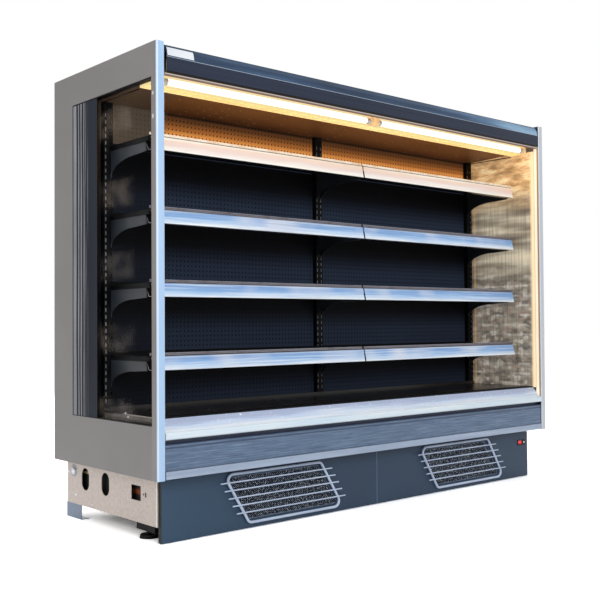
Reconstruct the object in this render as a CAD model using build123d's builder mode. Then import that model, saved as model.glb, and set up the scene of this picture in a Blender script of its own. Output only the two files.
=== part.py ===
from build123d import *
import os

# Open multideck display fridge, in millimetres.
# X runs along the front, Y from the front to the back, Z up. The origin is the middle of the floor
# under the cabinet, so the front faces -Y.

# --- Overall ---
overall_length = 2580
overall_depth = 862
overall_height = 1980
base_height = 265  # floor to the underside of the insulated body
sheet = 1.5  # painted steel sheet
plate = 2.5  # heavier galvanised plate
gap = 2  # visible gap between neighbouring covers

# --- End walls ---
end_wall_thickness = 40
end_wall_corner_radius = 4
post_depth = 35  # front profile that closes the end wall
post_corner_radius = 7
window_sill = 210  # above the underside of the body
window_head = 137  # below the top of the end wall
window_rear = 178  # ahead of the back edge
pane_thickness = 5
pane_setback = 3  # from each face of the end wall

# --- Insulated body ---
foam_floor = 60
foam_floor_slope = 10  # fall towards the drain
foam_upstand = 35
upstand_setback = 26  # from the front face to the foam
foam_back = 60
foam_roof = 46
duct_depth = 290  # front of the back wall to the face of the back panels
back_setback = 6  # from the back edge of the end walls
tub_front_height = 183  # underside of the body to the top of the front upstand
drain_radius = 16
drain_bore_radius = 13
drain_length = 40
drain_inset = 610  # from the inner face of the right end wall

# --- Canopy and lamps ---
canopy_top_drop = 7  # below the top of the end walls
canopy_crease_drop = 56
canopy_bottom_drop = 116
canopy_lean = 16
canopy_lip = 40
canopy_end_gap = 10  # end wall to the fascia
reflector_drop = 125  # underside of the reflector's front strip
reflector_rise = 24
reflector_setback = 2  # front face to the reflector's hem
reflector_hem = 4
reflector_overlap = 8  # contact with the fascia's lip
lamp_radius = 13
lamp_cap_radius = 14
lamp_drop = 132  # below the top of the end walls
lamp_setback = 86  # from the front face to the tube axis
lamp_holder_thickness = 18
lamp_holder_recess = 9
lamp_cap_length = 26
lamp_pin_radius = 1.2
lamp_pin_length = 3
lamp_pin_spacing = 12.7
lamp_clearance = 0.5
lamp_holder_size = 34
lamp_holder_space = 4  # middle of the cabinet to the nearest holder
lamp_end_space = 20  # beyond the outer holder
honeycomb_setback = 121
honeycomb_depth = 66
honeycomb_height = 22
honeycomb_rows = 2
honeycomb_cells = 40
honeycomb_wall = 6
ceiling_drop = 135  # below the top of the end walls
ceiling_fall = 12  # towards the back

# --- Back panels, uprights, shelves ---
upright_width = 45
upright_depth = 25
upright_inset = 24  # from the end wall to the centre of an end upright
slot_pitch = 30
slot_width = 5
slot_height = 16
slot_column = 13  # from the middle of an upright to a column of slots
lowest_slot = 537  # bottom edge of the lowest slot
levels = 4
top_level = 0.6  # least height of the top level, in level pitches
lowest_shelf = 742  # top of the lowest shelf
shelf_gap = 10  # between the two bays
shelf_end_space = 33  # from the end wall
shelf_setback = 169  # from the front face
shelf_rear_gap = 2
shelf_flange = 22
shelf_backstop = 14
shelf_riser = 14
bracket_thickness = 3
bracket_front_inset = 30
bracket_front_depth = 60
bracket_nose_rake = 6
bracket_web_depth = 65
bracket_root_depth = 138
bracket_arc_length = 185
hook_drop = 25  # shelf top to the bottom of the upper hook
hook_height = 9
hook_lip = 7
hook_reach = 8
hook_clearance = 0.4
hook_pitches = 3
strip_depth = 58
strip_lean = 13
strip_reach = 8
strip_foot = 40
strip_thickness = 2
strip_rise = 1  # top of a ticket strip above its shelf
strip_end_inset = 10  # from the outer end of the shelf

# --- Deck ---
deck_height = 505
deck_setback = 104  # from the front face
deck_rear_gap = 4
deck_flange = 20
grille_setback = 57
grille_slot_length = 62
grille_slot_width = 9
grille_slot_pitch = 76
grille_slot_rows = 2
bearer_inset = 14  # from the end wall
bearer_thickness = 3
bearer_flange = 24
bearer_port = (150, 70)

# --- Front mouldings ---
handrail_bottom = 155  # above the underside of the body, as are the next ones
handrail_height = 30
handrail_radius = 8
front_panel_bottom = 36
front_panel_height = 102
front_panel_setback = 6
trim_bottom = 2
trim_height = 32
deck_strip_thickness = 2
deck_strip_front = 12  # from the front face
deck_strip_foot = 12
deck_strip_leg = 19
deck_strip_drop = 6  # below the deck

# --- Base ---
base_inset = 64  # end wall face to the base side plate
base_front_setback = 101
base_flange = 30
foot_clearance = 65  # floor to the underside of the base
slot_hole_width = 66
slot_hole_height = 98
slot_hole_insets = (173, 350)  # from the back
slot_hole_height_above = 185
port_width = 74
port_height = 61
port_setback = 261  # from the front
port_height_above = 183
fixing_holes = ((187, 183), (203, 183))  # from the front, above the floor
fixing_hole_radius = 3
stud_holes = ((68, 214), (88, 106))  # from the back, above the floor
stud_hole_radius = 8
rail_depth = 50
rail_height = 40
web_port = (320, 90)  # for the pipes and the air between the two bays
web_port_height = 185
front_rail_setback = 131
back_rail_setback = 41
foot_inset = 44  # from the face of the base side plate
foot_setback = 231
foot_pad_radius = 40
foot_pad_height = 14
foot_pad_taper = 12
foot_stem_radius = 8
foot_nut_radius = 13
foot_nut_height = 8
foot_block_height = 32
foot_block_width = 60
foot_block_length = 140
foot_block_setback = 141
skid_length = 137
skid_width = 40

# --- Kick panels, guards and switch ---
kick_clearance = 3  # above the floor
kick_drop = 15  # below the body
kick_setback = 80
kick_depth = 21
kick_end_inset = 6  # from the face of the base side plate
guard_offset = 30  # guard centre beyond the middle of its panel
guard_length = 545
guard_height = 214
guard_centre_height = 134
guard_lean = 132
guard_corner_radius = 26
guard_tube_radius = 6
guard_standoff = 9
guard_rods = 5
guard_rod_radius = 3
guard_rod_pitch = 33.5
guard_rod_overhang = 42
guard_rod_centre_height = 141
standoff_places = (0.2, 0.8)  # along the top and bottom of the frame
opening_margin = 14
switch_inset = 60  # from the end of the kick panel
switch_height = 193
bezel_width = 68
bezel_height = 30
bezel_thickness = 3
bezel_depth = 12
bezel_rim = 2.5
bezel_corner_radius = 3
rocker_width = 30
rocker_radius = 10.4
rocker_crown = 7.5  # pivot to the raised edges of the rocker's face
rocker_hollow = 2
rocker_tilt = 8
rocker_side_shift = 12
rocker_pivot_depth = 4
rocker_clearance = 0.6
rocker_pin_radius = 1.5
rocker_pin_length = 3
pin_clearance = 0.05
pilot_radius = 4
pilot_height = 2
pilot_inset = 11

# --- Cooling unit ---
fan_wall_setback = 303
fan_inset = 490  # from the end wall
fan_radius = 66
fan_bore_clearance = 5
fan_blades = 5
fan_hub_radius = 20
fan_hub_depth = 26
fan_height = 417
fan_motor_radius = 24
fan_motor_depth = 42
fan_motor_gap = 3
fan_shaft_radius = 3
fan_shaft_reach = 12
fan_bore_depth = 13
blade_root_depth = 3  # blade root inside the hub
spider_width = 9
spider_thickness = 3
spider_margin = 2  # rim of the fan's hole to the foot of an arm
spider_setback = 3  # front of the motor to the arms
blade_root_chord = 26
blade_tip_chord = 44
blade_thickness = 2
blade_root_pitch = 38
blade_tip_pitch = 22
coil_end_space = 130
coil_depth = 190
coil_height = 380
coil_fins = 34
fin_groove = 6
fin_groove_depth = 9
coil_bend_radius = 9
coil_bend_straight = 3
coil_bend_root = 2
coil_bends = 7
coil_front_gap = 34
coil_lift = 45
unit_tray_length = 1330
unit_tray_margin = 35  # beyond the condenser
unit_tray_rim = 14
condenser_length = 520
condenser_depth = 76
condenser_height = 150
condenser_shift = 25  # from the middle of the left kick panel
condenser_front_gap = 4
condenser_fins = 12
condenser_bends = 2
condenser_fan_radius = 66
shroud_depth = 34
compressor_inset = 150  # from the end of the tray
compressor_back_space = 371  # axis to the back of the cabinet
compressor_radius = 78
compressor_height = 150
compressor_crown = 46
compressor_sump = 14
compressor_foot_height = 9
compressor_foot_radius = 9
compressor_foot_span = 200
compressor_foot_depth = 140
compressor_foot_corner = 12
compressor_foot_inset = 13
terminal_width = 60
terminal_height = 60
terminal_depth = 30
terminal_root = 8
terminal_rise = 67
box_length = 240
box_depth = 110
box_height = 105
box_shift = 150  # from the switch
box_corner_radius = 5

# --- Derived places ---
half_length = overall_length / 2
half_inside = half_length - end_wall_thickness
front = -overall_depth / 2
back = overall_depth / 2
post_back = front + post_depth
window_bottom = base_height + window_sill
window_top = overall_height - window_head
window_back = back - window_rear
foam_front = front + upstand_setback
foam_rear = back - back_setback
duct_back = foam_rear - foam_back
back_panel_front = duct_back - duct_depth
drain_x = half_inside - drain_inset
canopy_top = overall_height - canopy_top_drop
canopy_crease = overall_height - canopy_crease_drop
canopy_bottom = overall_height - canopy_bottom_drop
reflector_bottom = overall_height - reflector_drop
reflector_top = reflector_bottom + reflector_rise
roof_top = canopy_top - sheet
roof_bottom = roof_top - foam_roof
lamp_height = overall_height - lamp_drop
lamp_length = half_inside - 2 * lamp_holder_thickness - lamp_holder_space - lamp_end_space
ceiling_front_height = overall_height - ceiling_drop
ceiling_back_height = ceiling_front_height - ceiling_fall
tub_floor = base_height + foam_floor
upstand_top = base_height + tub_front_height
upright_front = back_panel_front - upright_depth
upright_offset = half_inside - upright_inset
upright_places = (-upright_offset, 0, upright_offset)
cover_half = half_inside - gap
slot_count = int((ceiling_back_height - lowest_slot - slot_height) / slot_pitch)
level_slots = int((ceiling_back_height - lowest_shelf) / (levels - 1 + top_level) / slot_pitch)
level_pitch = slot_pitch * level_slots
shelf_tops = [lowest_shelf + level_pitch * step for step in reversed(range(levels))]
shelf_length = half_inside - shelf_end_space - shelf_gap / 2
shelf_front = front + shelf_setback
shelf_back = upright_front - shelf_rear_gap
deck_front = front + deck_setback
grille_front = front + grille_setback
handrail_top = base_height + handrail_bottom + handrail_height
base_side = half_length - base_inset
base_front = front + base_front_setback
kick_front = front + kick_setback
kick_top = base_height - kick_drop
kick_end = base_side - kick_end_inset
foot_offset = base_side - foot_inset
foot_y = front + foot_setback
foot_block_front = front + foot_block_setback
fan_wall_y = front + fan_wall_setback
fan_offset = half_inside - fan_inset
honeycomb_back = front + honeycomb_setback + honeycomb_depth
honeycomb_front = honeycomb_back - honeycomb_depth
back_panel_bottom = deck_height - sheet
lamp_y = front + lamp_setback

os.makedirs("parts", exist_ok=True)


def folded(points, thickness, side=Side.LEFT):
    """Cross-section of a folded sheet: points run along one of its faces."""
    with BuildSketch(Plane.XY) as profile:
        with BuildLine():
            Polyline(*points)
            offset(amount=thickness, kind=Kind.INTERSECTION, side=side)
        make_face()
    return profile.sketch


def floor_at(place_y):
    """Height of the tub's sloping floor."""
    run = duct_back if place_y > 0 else foam_front + foam_upstand
    return tub_floor - foam_floor_slope * (1 - place_y / run)


# ---------------------------------------------------------------- base

with BuildPart() as base_sides:
    with BuildSketch(Plane.XY.offset(foot_clearance)):
        with Locations((-base_side, base_front)):
            Rectangle(base_flange, foam_rear - base_front, align=(Align.MIN, Align.MIN))
    extrude(amount=base_height - foot_clearance)
    with BuildSketch(Plane.YZ.offset(-base_side + plate)):
        with Locations((base_front + plate, foot_clearance + plate)):
            Rectangle(
                foam_rear - base_front - 2 * plate,
                base_height - foot_clearance - 2 * plate,
                align=(Align.MIN, Align.MIN),
            )
    extrude(amount=base_flange, mode=Mode.SUBTRACT)
    with BuildSketch(Plane.YZ.offset(-base_side)):
        for inset in slot_hole_insets:
            with Locations((back - inset, slot_hole_height_above)):
                SlotOverall(slot_hole_height, slot_hole_width, rotation=90)
        with Locations((front + port_setback, port_height_above)):
            Rectangle(port_width, port_height)
        with Locations([(front + setback, height) for setback, height in fixing_holes]):
            Circle(fixing_hole_radius)
        with Locations([(back - inset, height) for inset, height in stud_holes]):
            Circle(stud_hole_radius)
    extrude(amount=plate, mode=Mode.SUBTRACT)
    mirror(about=Plane.YZ)
base_sides.part.label = "base_sides"
export_step(base_sides.part, "parts/base_sides.step")

rail_bottom = foot_clearance + plate
rail_top = rail_bottom + rail_height
front_rail_y = front + front_rail_setback
back_rail_y = back - back_rail_setback
with BuildPart() as base_frame:
    rail_half = base_side - plate
    with BuildSketch(Plane.YZ.offset(-rail_half)):
        with Locations((front_rail_y, rail_bottom), (back_rail_y - rail_depth, rail_bottom)):
            Rectangle(rail_depth, rail_height, align=(Align.MIN, Align.MIN))
        with Locations(
            (front_rail_y + plate, rail_bottom + plate),
            (back_rail_y - rail_depth, rail_bottom + plate),
        ):
            Rectangle(
                rail_depth - plate,
                rail_height - 2 * plate,
                align=(Align.MIN, Align.MIN),
                mode=Mode.SUBTRACT,
            )
    extrude(amount=2 * rail_half)
    with BuildSketch(Plane.YZ.offset(-plate / 2)):
        with Locations((base_front, rail_top)):
            Rectangle(back_rail_y - base_front, base_height - rail_top, align=(Align.MIN, Align.MIN))
        with Locations(((base_front + back_rail_y) / 2, web_port_height)):
            SlotOverall(*web_port, mode=Mode.SUBTRACT)
    extrude(amount=plate)
    with BuildSketch(Plane.XZ.offset(-back_rail_y)):
        with Locations((0, rail_top)):
            Rectangle(
                2 * rail_half,
                base_height - plate - rail_top,
                align=(Align.CENTER, Align.MIN),
            )
    extrude(amount=sheet)
    with BuildSketch(Plane.XY.offset(rail_top)):
        with Locations((0, base_front)):
            Rectangle(2 * base_flange, plate, align=(Align.CENTER, Align.MIN))
    extrude(amount=base_height - rail_top)
    with BuildSketch(Plane.XY.offset(base_height - plate)):
        with Locations((0, base_front)):
            Rectangle(2 * base_flange, back_rail_y - base_front, align=(Align.CENTER, Align.MIN))
    extrude(amount=plate)
base_frame.part.label = "base_frame"
export_step(base_frame.part, "parts/base_frame.step")

foot_places = ((-foot_offset, foot_clearance), (0, rail_bottom), (foot_offset, foot_clearance))
with BuildPart() as levelling_feet:
    for foot_x, foot_top in foot_places:
        block_bottom = foot_top - foot_block_height
        with BuildSketch(Plane.XY):
            with Locations((foot_x, foot_y)):
                Circle(foot_pad_radius)
        extrude(amount=foot_pad_height, taper=foot_pad_taper)
        with BuildSketch(Plane.XY):
            with Locations((foot_x, foot_y)):
                Circle(foot_stem_radius)
        extrude(amount=block_bottom)
        with BuildSketch(Plane.XY.offset(block_bottom - foot_nut_height)):
            with Locations((foot_x, foot_y)):
                RegularPolygon(foot_nut_radius, 6)
        extrude(amount=foot_nut_height)
        with BuildSketch(Plane.XY.offset(block_bottom)):
            with Locations((foot_x, foot_block_front)):
                Rectangle(foot_block_width, foot_block_length, align=(Align.CENTER, Align.MIN))
        extrude(amount=foot_block_height)
levelling_feet.part.label = "levelling_feet"
export_step(levelling_feet.part, "parts/levelling_feet.step")

with BuildPart() as rear_skids:
    for skid_x, skid_top in ((-base_side, foot_clearance), (-skid_width / 2, rail_bottom)):
        with BuildSketch(Plane.XZ.offset(-back)):
            with Locations((skid_x, 0)):
                Rectangle(skid_width, skid_top, align=(Align.MIN, Align.MIN))
            with Locations((skid_x + plate, plate)):
                Rectangle(
                    skid_width,
                    skid_top - 2 * plate,
                    align=(Align.MIN, Align.MIN),
                    mode=Mode.SUBTRACT,
                )
        extrude(amount=skid_length)
    add(mirror(rear_skids.solids().sort_by(Axis.X)[0], about=Plane.YZ, mode=Mode.PRIVATE))
rear_skids.part.label = "rear_skids"
export_step(rear_skids.part, "parts/rear_skids.step")

# ---------------------------------------------------------------- insulated body

with BuildPart() as insulated_tub:
    with BuildSketch(Plane.YZ):
        with BuildLine():
            Polyline(
                (foam_front, base_height),
                (duct_back, base_height),
                (duct_back, tub_floor),
                (0, tub_floor - foam_floor_slope),
                (foam_front + foam_upstand, tub_floor),
                (foam_front + foam_upstand, upstand_top),
                (foam_front, upstand_top),
                close=True,
            )
        make_face()
    extrude(amount=half_inside, both=True)
    with BuildSketch(Plane.XY.offset(base_height - drain_length)):
        with Locations((drain_x, 0)):
            Circle(drain_radius)
    extrude(amount=drain_length)
    with BuildSketch(Plane.XY.offset(base_height - drain_length)):
        with Locations((drain_x, 0)):
            Circle(drain_bore_radius)
    extrude(amount=drain_length + foam_floor, mode=Mode.SUBTRACT)
insulated_tub.part.label = "insulated_tub"
export_step(insulated_tub.part, "parts/insulated_tub.step")

with BuildPart() as back_wall:
    with BuildSketch(Plane.YZ):
        with Locations((duct_back, base_height)):
            Rectangle(foam_back, roof_bottom - base_height, align=(Align.MIN, Align.MIN))
    extrude(amount=half_inside, both=True)
back_wall.part.label = "back_wall"
export_step(back_wall.part, "parts/back_wall.step")

with BuildPart() as roof_panel:
    with BuildSketch(Plane.YZ):
        with Locations((post_back, roof_bottom)):
            Rectangle(foam_rear - post_back, foam_roof, align=(Align.MIN, Align.MIN))
    extrude(amount=half_inside, both=True)
roof_panel.part.label = "roof_panel"
export_step(roof_panel.part, "parts/roof_panel.step")

# ---------------------------------------------------------------- end walls

with BuildPart() as end_wall_left:
    with BuildSketch(Plane.YZ.offset(-half_length)):
        with Locations((post_back, base_height)):
            Rectangle(back - post_back, overall_height - base_height, align=(Align.MIN, Align.MIN))
        with Locations((post_back, window_bottom)):
            Rectangle(
                window_back - post_back,
                window_top - window_bottom,
                align=(Align.MIN, Align.MIN),
                mode=Mode.SUBTRACT,
            )
    extrude(amount=end_wall_thickness)
    outer_edges = end_wall_left.edges().filter_by(Axis.Z).group_by(Axis.Y)[-1]
    fillet(outer_edges, radius=end_wall_corner_radius)
end_wall_left.part.label = "end_wall_left"
export_step(end_wall_left.part, "parts/end_wall_left.step")

with BuildPart() as end_wall_right:
    add(mirror(end_wall_left.part, about=Plane.YZ, mode=Mode.PRIVATE))
end_wall_right.part.label = "end_wall_right"
export_step(end_wall_right.part, "parts/end_wall_right.step")

with BuildPart() as end_glass:
    for pane_face in (half_length - pane_setback, half_inside + pane_setback + pane_thickness):
        with BuildSketch(Plane.YZ.offset(-pane_face)):
            with Locations((post_back, window_bottom)):
                Rectangle(
                    window_back - post_back,
                    window_top - window_bottom,
                    align=(Align.MIN, Align.MIN),
                )
        extrude(amount=pane_thickness)
    mirror(about=Plane.YZ)
end_glass.part.label = "end_glass"
export_step(end_glass.part, "parts/end_glass.step")

with BuildPart() as end_posts:
    with BuildSketch(Plane.XY.offset(base_height)):
        with Locations((-half_length, front)):
            Rectangle(end_wall_thickness, post_depth, align=(Align.MIN, Align.MIN))
    extrude(amount=overall_height - base_height)
    fillet(end_posts.edges().filter_by(Axis.Z).group_by(Axis.Y)[0], radius=post_corner_radius)
    mirror(about=Plane.YZ)
end_posts.part.label = "end_posts"
export_step(end_posts.part, "parts/end_posts.step")

# ---------------------------------------------------------------- canopy

with BuildPart() as canopy_fascia:
    with BuildSketch(Plane.YZ):
        add(
            folded(
                (
                    (front + canopy_lip, canopy_bottom),
                    (front, canopy_bottom),
                    (front, canopy_crease),
                    (front + canopy_lean / 3, canopy_crease + canopy_crease_drop / 2),
                    (front + canopy_lean, canopy_top),
                    (post_back + canopy_lip, canopy_top),
                ),
                sheet,
                Side.RIGHT,
            )
        )
    extrude(amount=half_inside - canopy_end_gap, both=True)
canopy_fascia.part.label = "canopy_fascia"
export_step(canopy_fascia.part, "parts/canopy_fascia.step")

overlap_front = front + canopy_lip - reflector_overlap
with BuildPart() as lamp_reflector:
    with BuildSketch(Plane.YZ):
        add(
            folded(
                (
                    (front + reflector_setback, reflector_bottom + reflector_hem),
                    (front + reflector_setback, reflector_bottom),
                    (overlap_front - sheet, reflector_bottom),
                    (overlap_front, canopy_bottom - sheet),
                    (front + canopy_lip + sheet, canopy_bottom - sheet),
                    (lamp_y - lamp_radius, reflector_top),
                    (lamp_y + lamp_radius, reflector_top),
                    (honeycomb_front, ceiling_front_height - honeycomb_height / 2),
                    (honeycomb_front, ceiling_front_height + honeycomb_height / 2),
                ),
                sheet,
                Side.LEFT,
            )
        )
    extrude(amount=cover_half, both=True)
lamp_reflector.part.label = "lamp_reflector"
export_step(lamp_reflector.part, "parts/lamp_reflector.step")

lamp_centre = lamp_length / 2 + lamp_holder_thickness + lamp_holder_space
with BuildPart() as lamp_holders:
    for side in (-1, 1):
        for end in (-1, 1):
            face_x = side * lamp_centre + end * (lamp_length / 2 - lamp_holder_recess / 2)
            with BuildSketch(Plane.YZ.offset(face_x)):
                with Locations((lamp_y, lamp_height)):
                    Rectangle(lamp_holder_size, lamp_holder_size)
                with Locations((lamp_y, (lamp_height + reflector_top) / 2)):
                    Rectangle(2 * lamp_radius, reflector_top - lamp_height)
            extrude(amount=end * lamp_holder_thickness)
            with BuildSketch(Plane.YZ.offset(face_x)):
                with Locations((lamp_y, lamp_height)):
                    Circle(lamp_cap_radius + lamp_clearance)
            extrude(amount=end * lamp_holder_recess, mode=Mode.SUBTRACT)
lamp_holders.part.label = "lamp_holders"
export_step(lamp_holders.part, "parts/lamp_holders.step")


def lamp_tube(side):
    """One tube with its two end caps and their pins."""
    centre = side * lamp_centre
    with BuildPart() as tube:
        with BuildSketch(Plane.YZ.offset(centre - lamp_length / 2)):
            with Locations((lamp_y, lamp_height)):
                Circle(lamp_cap_radius)
        extrude(amount=lamp_length)
        with BuildSketch(Plane.YZ.offset(centre - lamp_length / 2 + lamp_cap_length)):
            with Locations((lamp_y, lamp_height)):
                Circle(lamp_cap_radius)
                Circle(lamp_radius, mode=Mode.SUBTRACT)
        extrude(amount=lamp_length - 2 * lamp_cap_length, mode=Mode.SUBTRACT)
        with BuildSketch(Plane.YZ.offset(centre - lamp_length / 2 - lamp_pin_length)):
            with Locations(
                (lamp_y, lamp_height - lamp_pin_spacing / 2),
                (lamp_y, lamp_height + lamp_pin_spacing / 2),
            ):
                Circle(lamp_pin_radius)
        extrude(amount=lamp_length + 2 * lamp_pin_length)
    return tube.part


with BuildPart() as lamp_tube_left:
    add(lamp_tube(-1))
lamp_tube_left.part.label = "lamp_tube_left"
export_step(lamp_tube_left.part, "parts/lamp_tube_left.step")

with BuildPart() as lamp_tube_right:
    add(lamp_tube(1))
lamp_tube_right.part.label = "lamp_tube_right"
export_step(lamp_tube_right.part, "parts/lamp_tube_right.step")

honeycomb_bottom = ceiling_front_height - honeycomb_height / 2
cell_pitch = 2 * cover_half / honeycomb_cells
row_pitch = honeycomb_depth / honeycomb_rows
with BuildPart() as air_honeycomb:
    with BuildSketch(Plane.XY.offset(honeycomb_bottom)):
        with Locations((0, (honeycomb_front + honeycomb_back) / 2)):
            Rectangle(2 * cover_half, honeycomb_depth)
            with GridLocations(cell_pitch, row_pitch, honeycomb_cells, honeycomb_rows):
                Rectangle(
                    cell_pitch - honeycomb_wall,
                    row_pitch - honeycomb_wall,
                    mode=Mode.SUBTRACT,
                )
    extrude(amount=honeycomb_height)
air_honeycomb.part.label = "air_honeycomb"
export_step(air_honeycomb.part, "parts/air_honeycomb.step")

with BuildPart() as ceiling_panels:
    with BuildSketch(Plane.YZ.offset(gap / 2)):
        add(
            folded(
                (
                    (honeycomb_back, ceiling_front_height + honeycomb_height / 2),
                    (honeycomb_back, ceiling_front_height),
                    (back_panel_front - gap / 2, ceiling_back_height),
                ),
                sheet,
                Side.LEFT,
            )
        )
    extrude(amount=half_inside - gap / 2)
    mirror(about=Plane.YZ)
ceiling_panels.part.label = "ceiling_panels"
export_step(ceiling_panels.part, "parts/ceiling_panels.step")

# ---------------------------------------------------------------- back of the display space

notch_edge = upright_width / 2 + gap
with BuildPart() as back_panels:
    with BuildSketch(Plane.XZ.offset(-back_panel_front)):
        with Locations((gap / 2, back_panel_bottom)):
            Rectangle(
                half_inside - gap / 2,
                ceiling_back_height + sheet - back_panel_bottom,
                align=(Align.MIN, Align.MIN),
            )
    extrude(amount=-sheet)
    with BuildSketch(Plane.XY.offset(back_panel_bottom - sheet)):
        with Locations((notch_edge, back_panel_front + sheet)):
            Rectangle(
                upright_offset - upright_width - 2 * gap,
                upright_depth + deck_flange + sheet,
                align=(Align.MIN, Align.MAX),
            )
    extrude(amount=sheet)
    mirror(about=Plane.YZ)
back_panels.part.label = "back_panels"
export_step(back_panels.part, "parts/back_panels.step")

slot_places = [lowest_slot + slot_height / 2 + slot_pitch * step for step in range(slot_count)]
with BuildPart() as shelf_uprights:
    for place in upright_places:
        with BuildSketch(Plane.XY.offset(tub_floor)):
            with Locations((place, upright_front)):
                Rectangle(upright_width, upright_depth, align=(Align.CENTER, Align.MIN))
            with Locations((place, upright_front + sheet)):
                Rectangle(
                    upright_width - 2 * sheet,
                    upright_depth,
                    align=(Align.CENTER, Align.MIN),
                    mode=Mode.SUBTRACT,
                )
        extrude(amount=ceiling_back_height - tub_floor)
    with BuildSketch(Plane.XZ.offset(-upright_front)):
        for place in upright_places:
            for column in (-slot_column, slot_column):
                with Locations([(place + column, slot_z) for slot_z in slot_places]):
                    Rectangle(slot_width, slot_height)
    extrude(amount=-sheet, mode=Mode.SUBTRACT)
shelf_uprights.part.label = "shelf_uprights"
export_step(shelf_uprights.part, "parts/shelf_uprights.step")

# ---------------------------------------------------------------- shelves


def bracket_profile(shelf_top):
    """Cantilever gusset with a hollow quarter arc and two hooks, seen from the side."""
    top = shelf_top - sheet
    root_bottom = shelf_top - bracket_root_depth
    arc_front = upright_front - bracket_arc_length
    nose = shelf_front + bracket_front_inset
    with BuildSketch(Plane.XY) as profile:
        with BuildLine():
            arc = EllipticalCenterArc(
                (arc_front, root_bottom),
                bracket_arc_length,
                bracket_root_depth - bracket_web_depth,
                start_angle=0,
                arc_size=90,
            )
            Polyline(
                arc @ 1,
                (nose - bracket_nose_rake, shelf_top - bracket_front_depth),
                (nose, top),
                (upright_front, top),
                arc @ 0,
            )
        make_face()
        for step in (0, hook_pitches):
            hook_bottom = shelf_top - hook_drop - step * slot_pitch
            lip_front = upright_front + sheet + hook_clearance
            with Locations((upright_front, hook_bottom)):
                Rectangle(hook_reach, hook_height, align=(Align.MIN, Align.MIN))
            with Locations((lip_front, hook_bottom)):
                Rectangle(
                    upright_front + hook_reach - lip_front,
                    hook_lip,
                    align=(Align.MIN, Align.MAX),
                )
    return profile.sketch


bracket_places = (slot_column, upright_offset - slot_column)
with BuildPart() as shelf_brackets:
    for shelf_top in shelf_tops:
        for place in bracket_places:
            with BuildSketch(Plane.YZ.offset(place - bracket_thickness / 2)):
                add(bracket_profile(shelf_top))
            extrude(amount=bracket_thickness)
    mirror(about=Plane.YZ)
shelf_brackets.part.label = "shelf_brackets"
export_step(shelf_brackets.part, "parts/shelf_brackets.step")


def shelf_tray(shelf_top, side):
    """Folded shelf: flanges down at the front and ends, a low riser in front, a backstop behind."""
    low_x = shelf_gap / 2 if side > 0 else -shelf_gap / 2 - shelf_length
    with BuildPart() as tray:
        with BuildSketch(Plane.YZ.offset(low_x)):
            add(
                folded(
                    (
                        (shelf_front, shelf_top - shelf_flange),
                        (shelf_front, shelf_top),
                        (shelf_back, shelf_top),
                        (shelf_back, shelf_top + shelf_backstop),
                    ),
                    sheet,
                    Side.RIGHT,
                )
            )
            with Locations((shelf_front, shelf_top - sheet)):
                Rectangle(sheet, shelf_riser + sheet, align=(Align.MIN, Align.MIN))
        extrude(amount=shelf_length)
        with BuildSketch(Plane.XY.offset(shelf_top - shelf_flange)):
            with Locations((low_x, shelf_front), (low_x + shelf_length - sheet, shelf_front)):
                Rectangle(sheet, shelf_back - sheet - shelf_front, align=(Align.MIN, Align.MIN))
        extrude(amount=shelf_flange)
    return tray.part


def ticket_strip(shelf_top, side):
    """Price-label channel: a leaning face with a return foot, clipped to the shelf's front flange."""
    strip_length = shelf_length - strip_end_inset
    low_x = shelf_gap / 2 if side > 0 else -shelf_gap / 2 - strip_length
    face_top = shelf_front - strip_reach
    face_bottom = face_top - strip_lean
    strip_top = shelf_top + strip_rise
    with BuildPart() as strip:
        with BuildSketch(Plane.YZ.offset(low_x)):
            add(
                folded(
                    (
                        (shelf_front, shelf_top - shelf_flange),
                        (shelf_front, strip_top),
                        (face_top, strip_top),
                        (face_bottom, strip_top - strip_depth),
                        (face_bottom + strip_foot, strip_top - strip_depth),
                    ),
                    strip_thickness,
                    Side.LEFT,
                )
            )
        extrude(amount=strip_length)
    return strip.part


for side, side_name in ((-1, "left"), (1, "right")):
    for level, shelf_top in enumerate(shelf_tops, start=1):
        with BuildPart() as shelf:
            add(shelf_tray(shelf_top, side))
        shelf.part.label = f"shelf_{level}_{side_name}"
        export_step(shelf.part, f"parts/shelf_{level}_{side_name}.step")

        with BuildPart() as strip:
            add(ticket_strip(shelf_top, side))
        strip.part.label = f"ticket_strip_{level}_{side_name}"
        export_step(strip.part, f"parts/ticket_strip_{level}_{side_name}.step")

# ---------------------------------------------------------------- deck

tray_back = upright_front - deck_rear_gap
bearer_top = deck_height - sheet
bearer_front = foam_front + foam_upstand
bearer_back = fan_wall_y - sheet
bearer_end = half_inside - bearer_inset
bearer_offsets = (-bearer_end, -cover_half / 4, 0, cover_half / 4, bearer_end)
with BuildPart() as deck_bearers:
    for place in bearer_offsets:
        with BuildSketch(Plane.YZ.offset(place - bearer_thickness / 2)):
            with BuildLine():
                Polyline(
                    (bearer_front, floor_at(bearer_front)),
                    (bearer_back, floor_at(bearer_back)),
                    (bearer_back, bearer_top),
                    (bearer_front, bearer_top),
                    close=True,
                )
            make_face()
            with Locations(((bearer_front + bearer_back) / 2, (tub_floor + bearer_top) / 2)):
                SlotOverall(*bearer_port, mode=Mode.SUBTRACT)
        extrude(amount=bearer_thickness)
    with BuildSketch(Plane.XY.offset(bearer_top - bearer_thickness)):
        with Locations([(place, bearer_front) for place in bearer_offsets]):
            Rectangle(bearer_flange, bearer_back - bearer_front, align=(Align.CENTER, Align.MIN))
    extrude(amount=bearer_thickness)
deck_bearers.part.label = "deck_bearers"
export_step(deck_bearers.part, "parts/deck_bearers.step")


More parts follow.
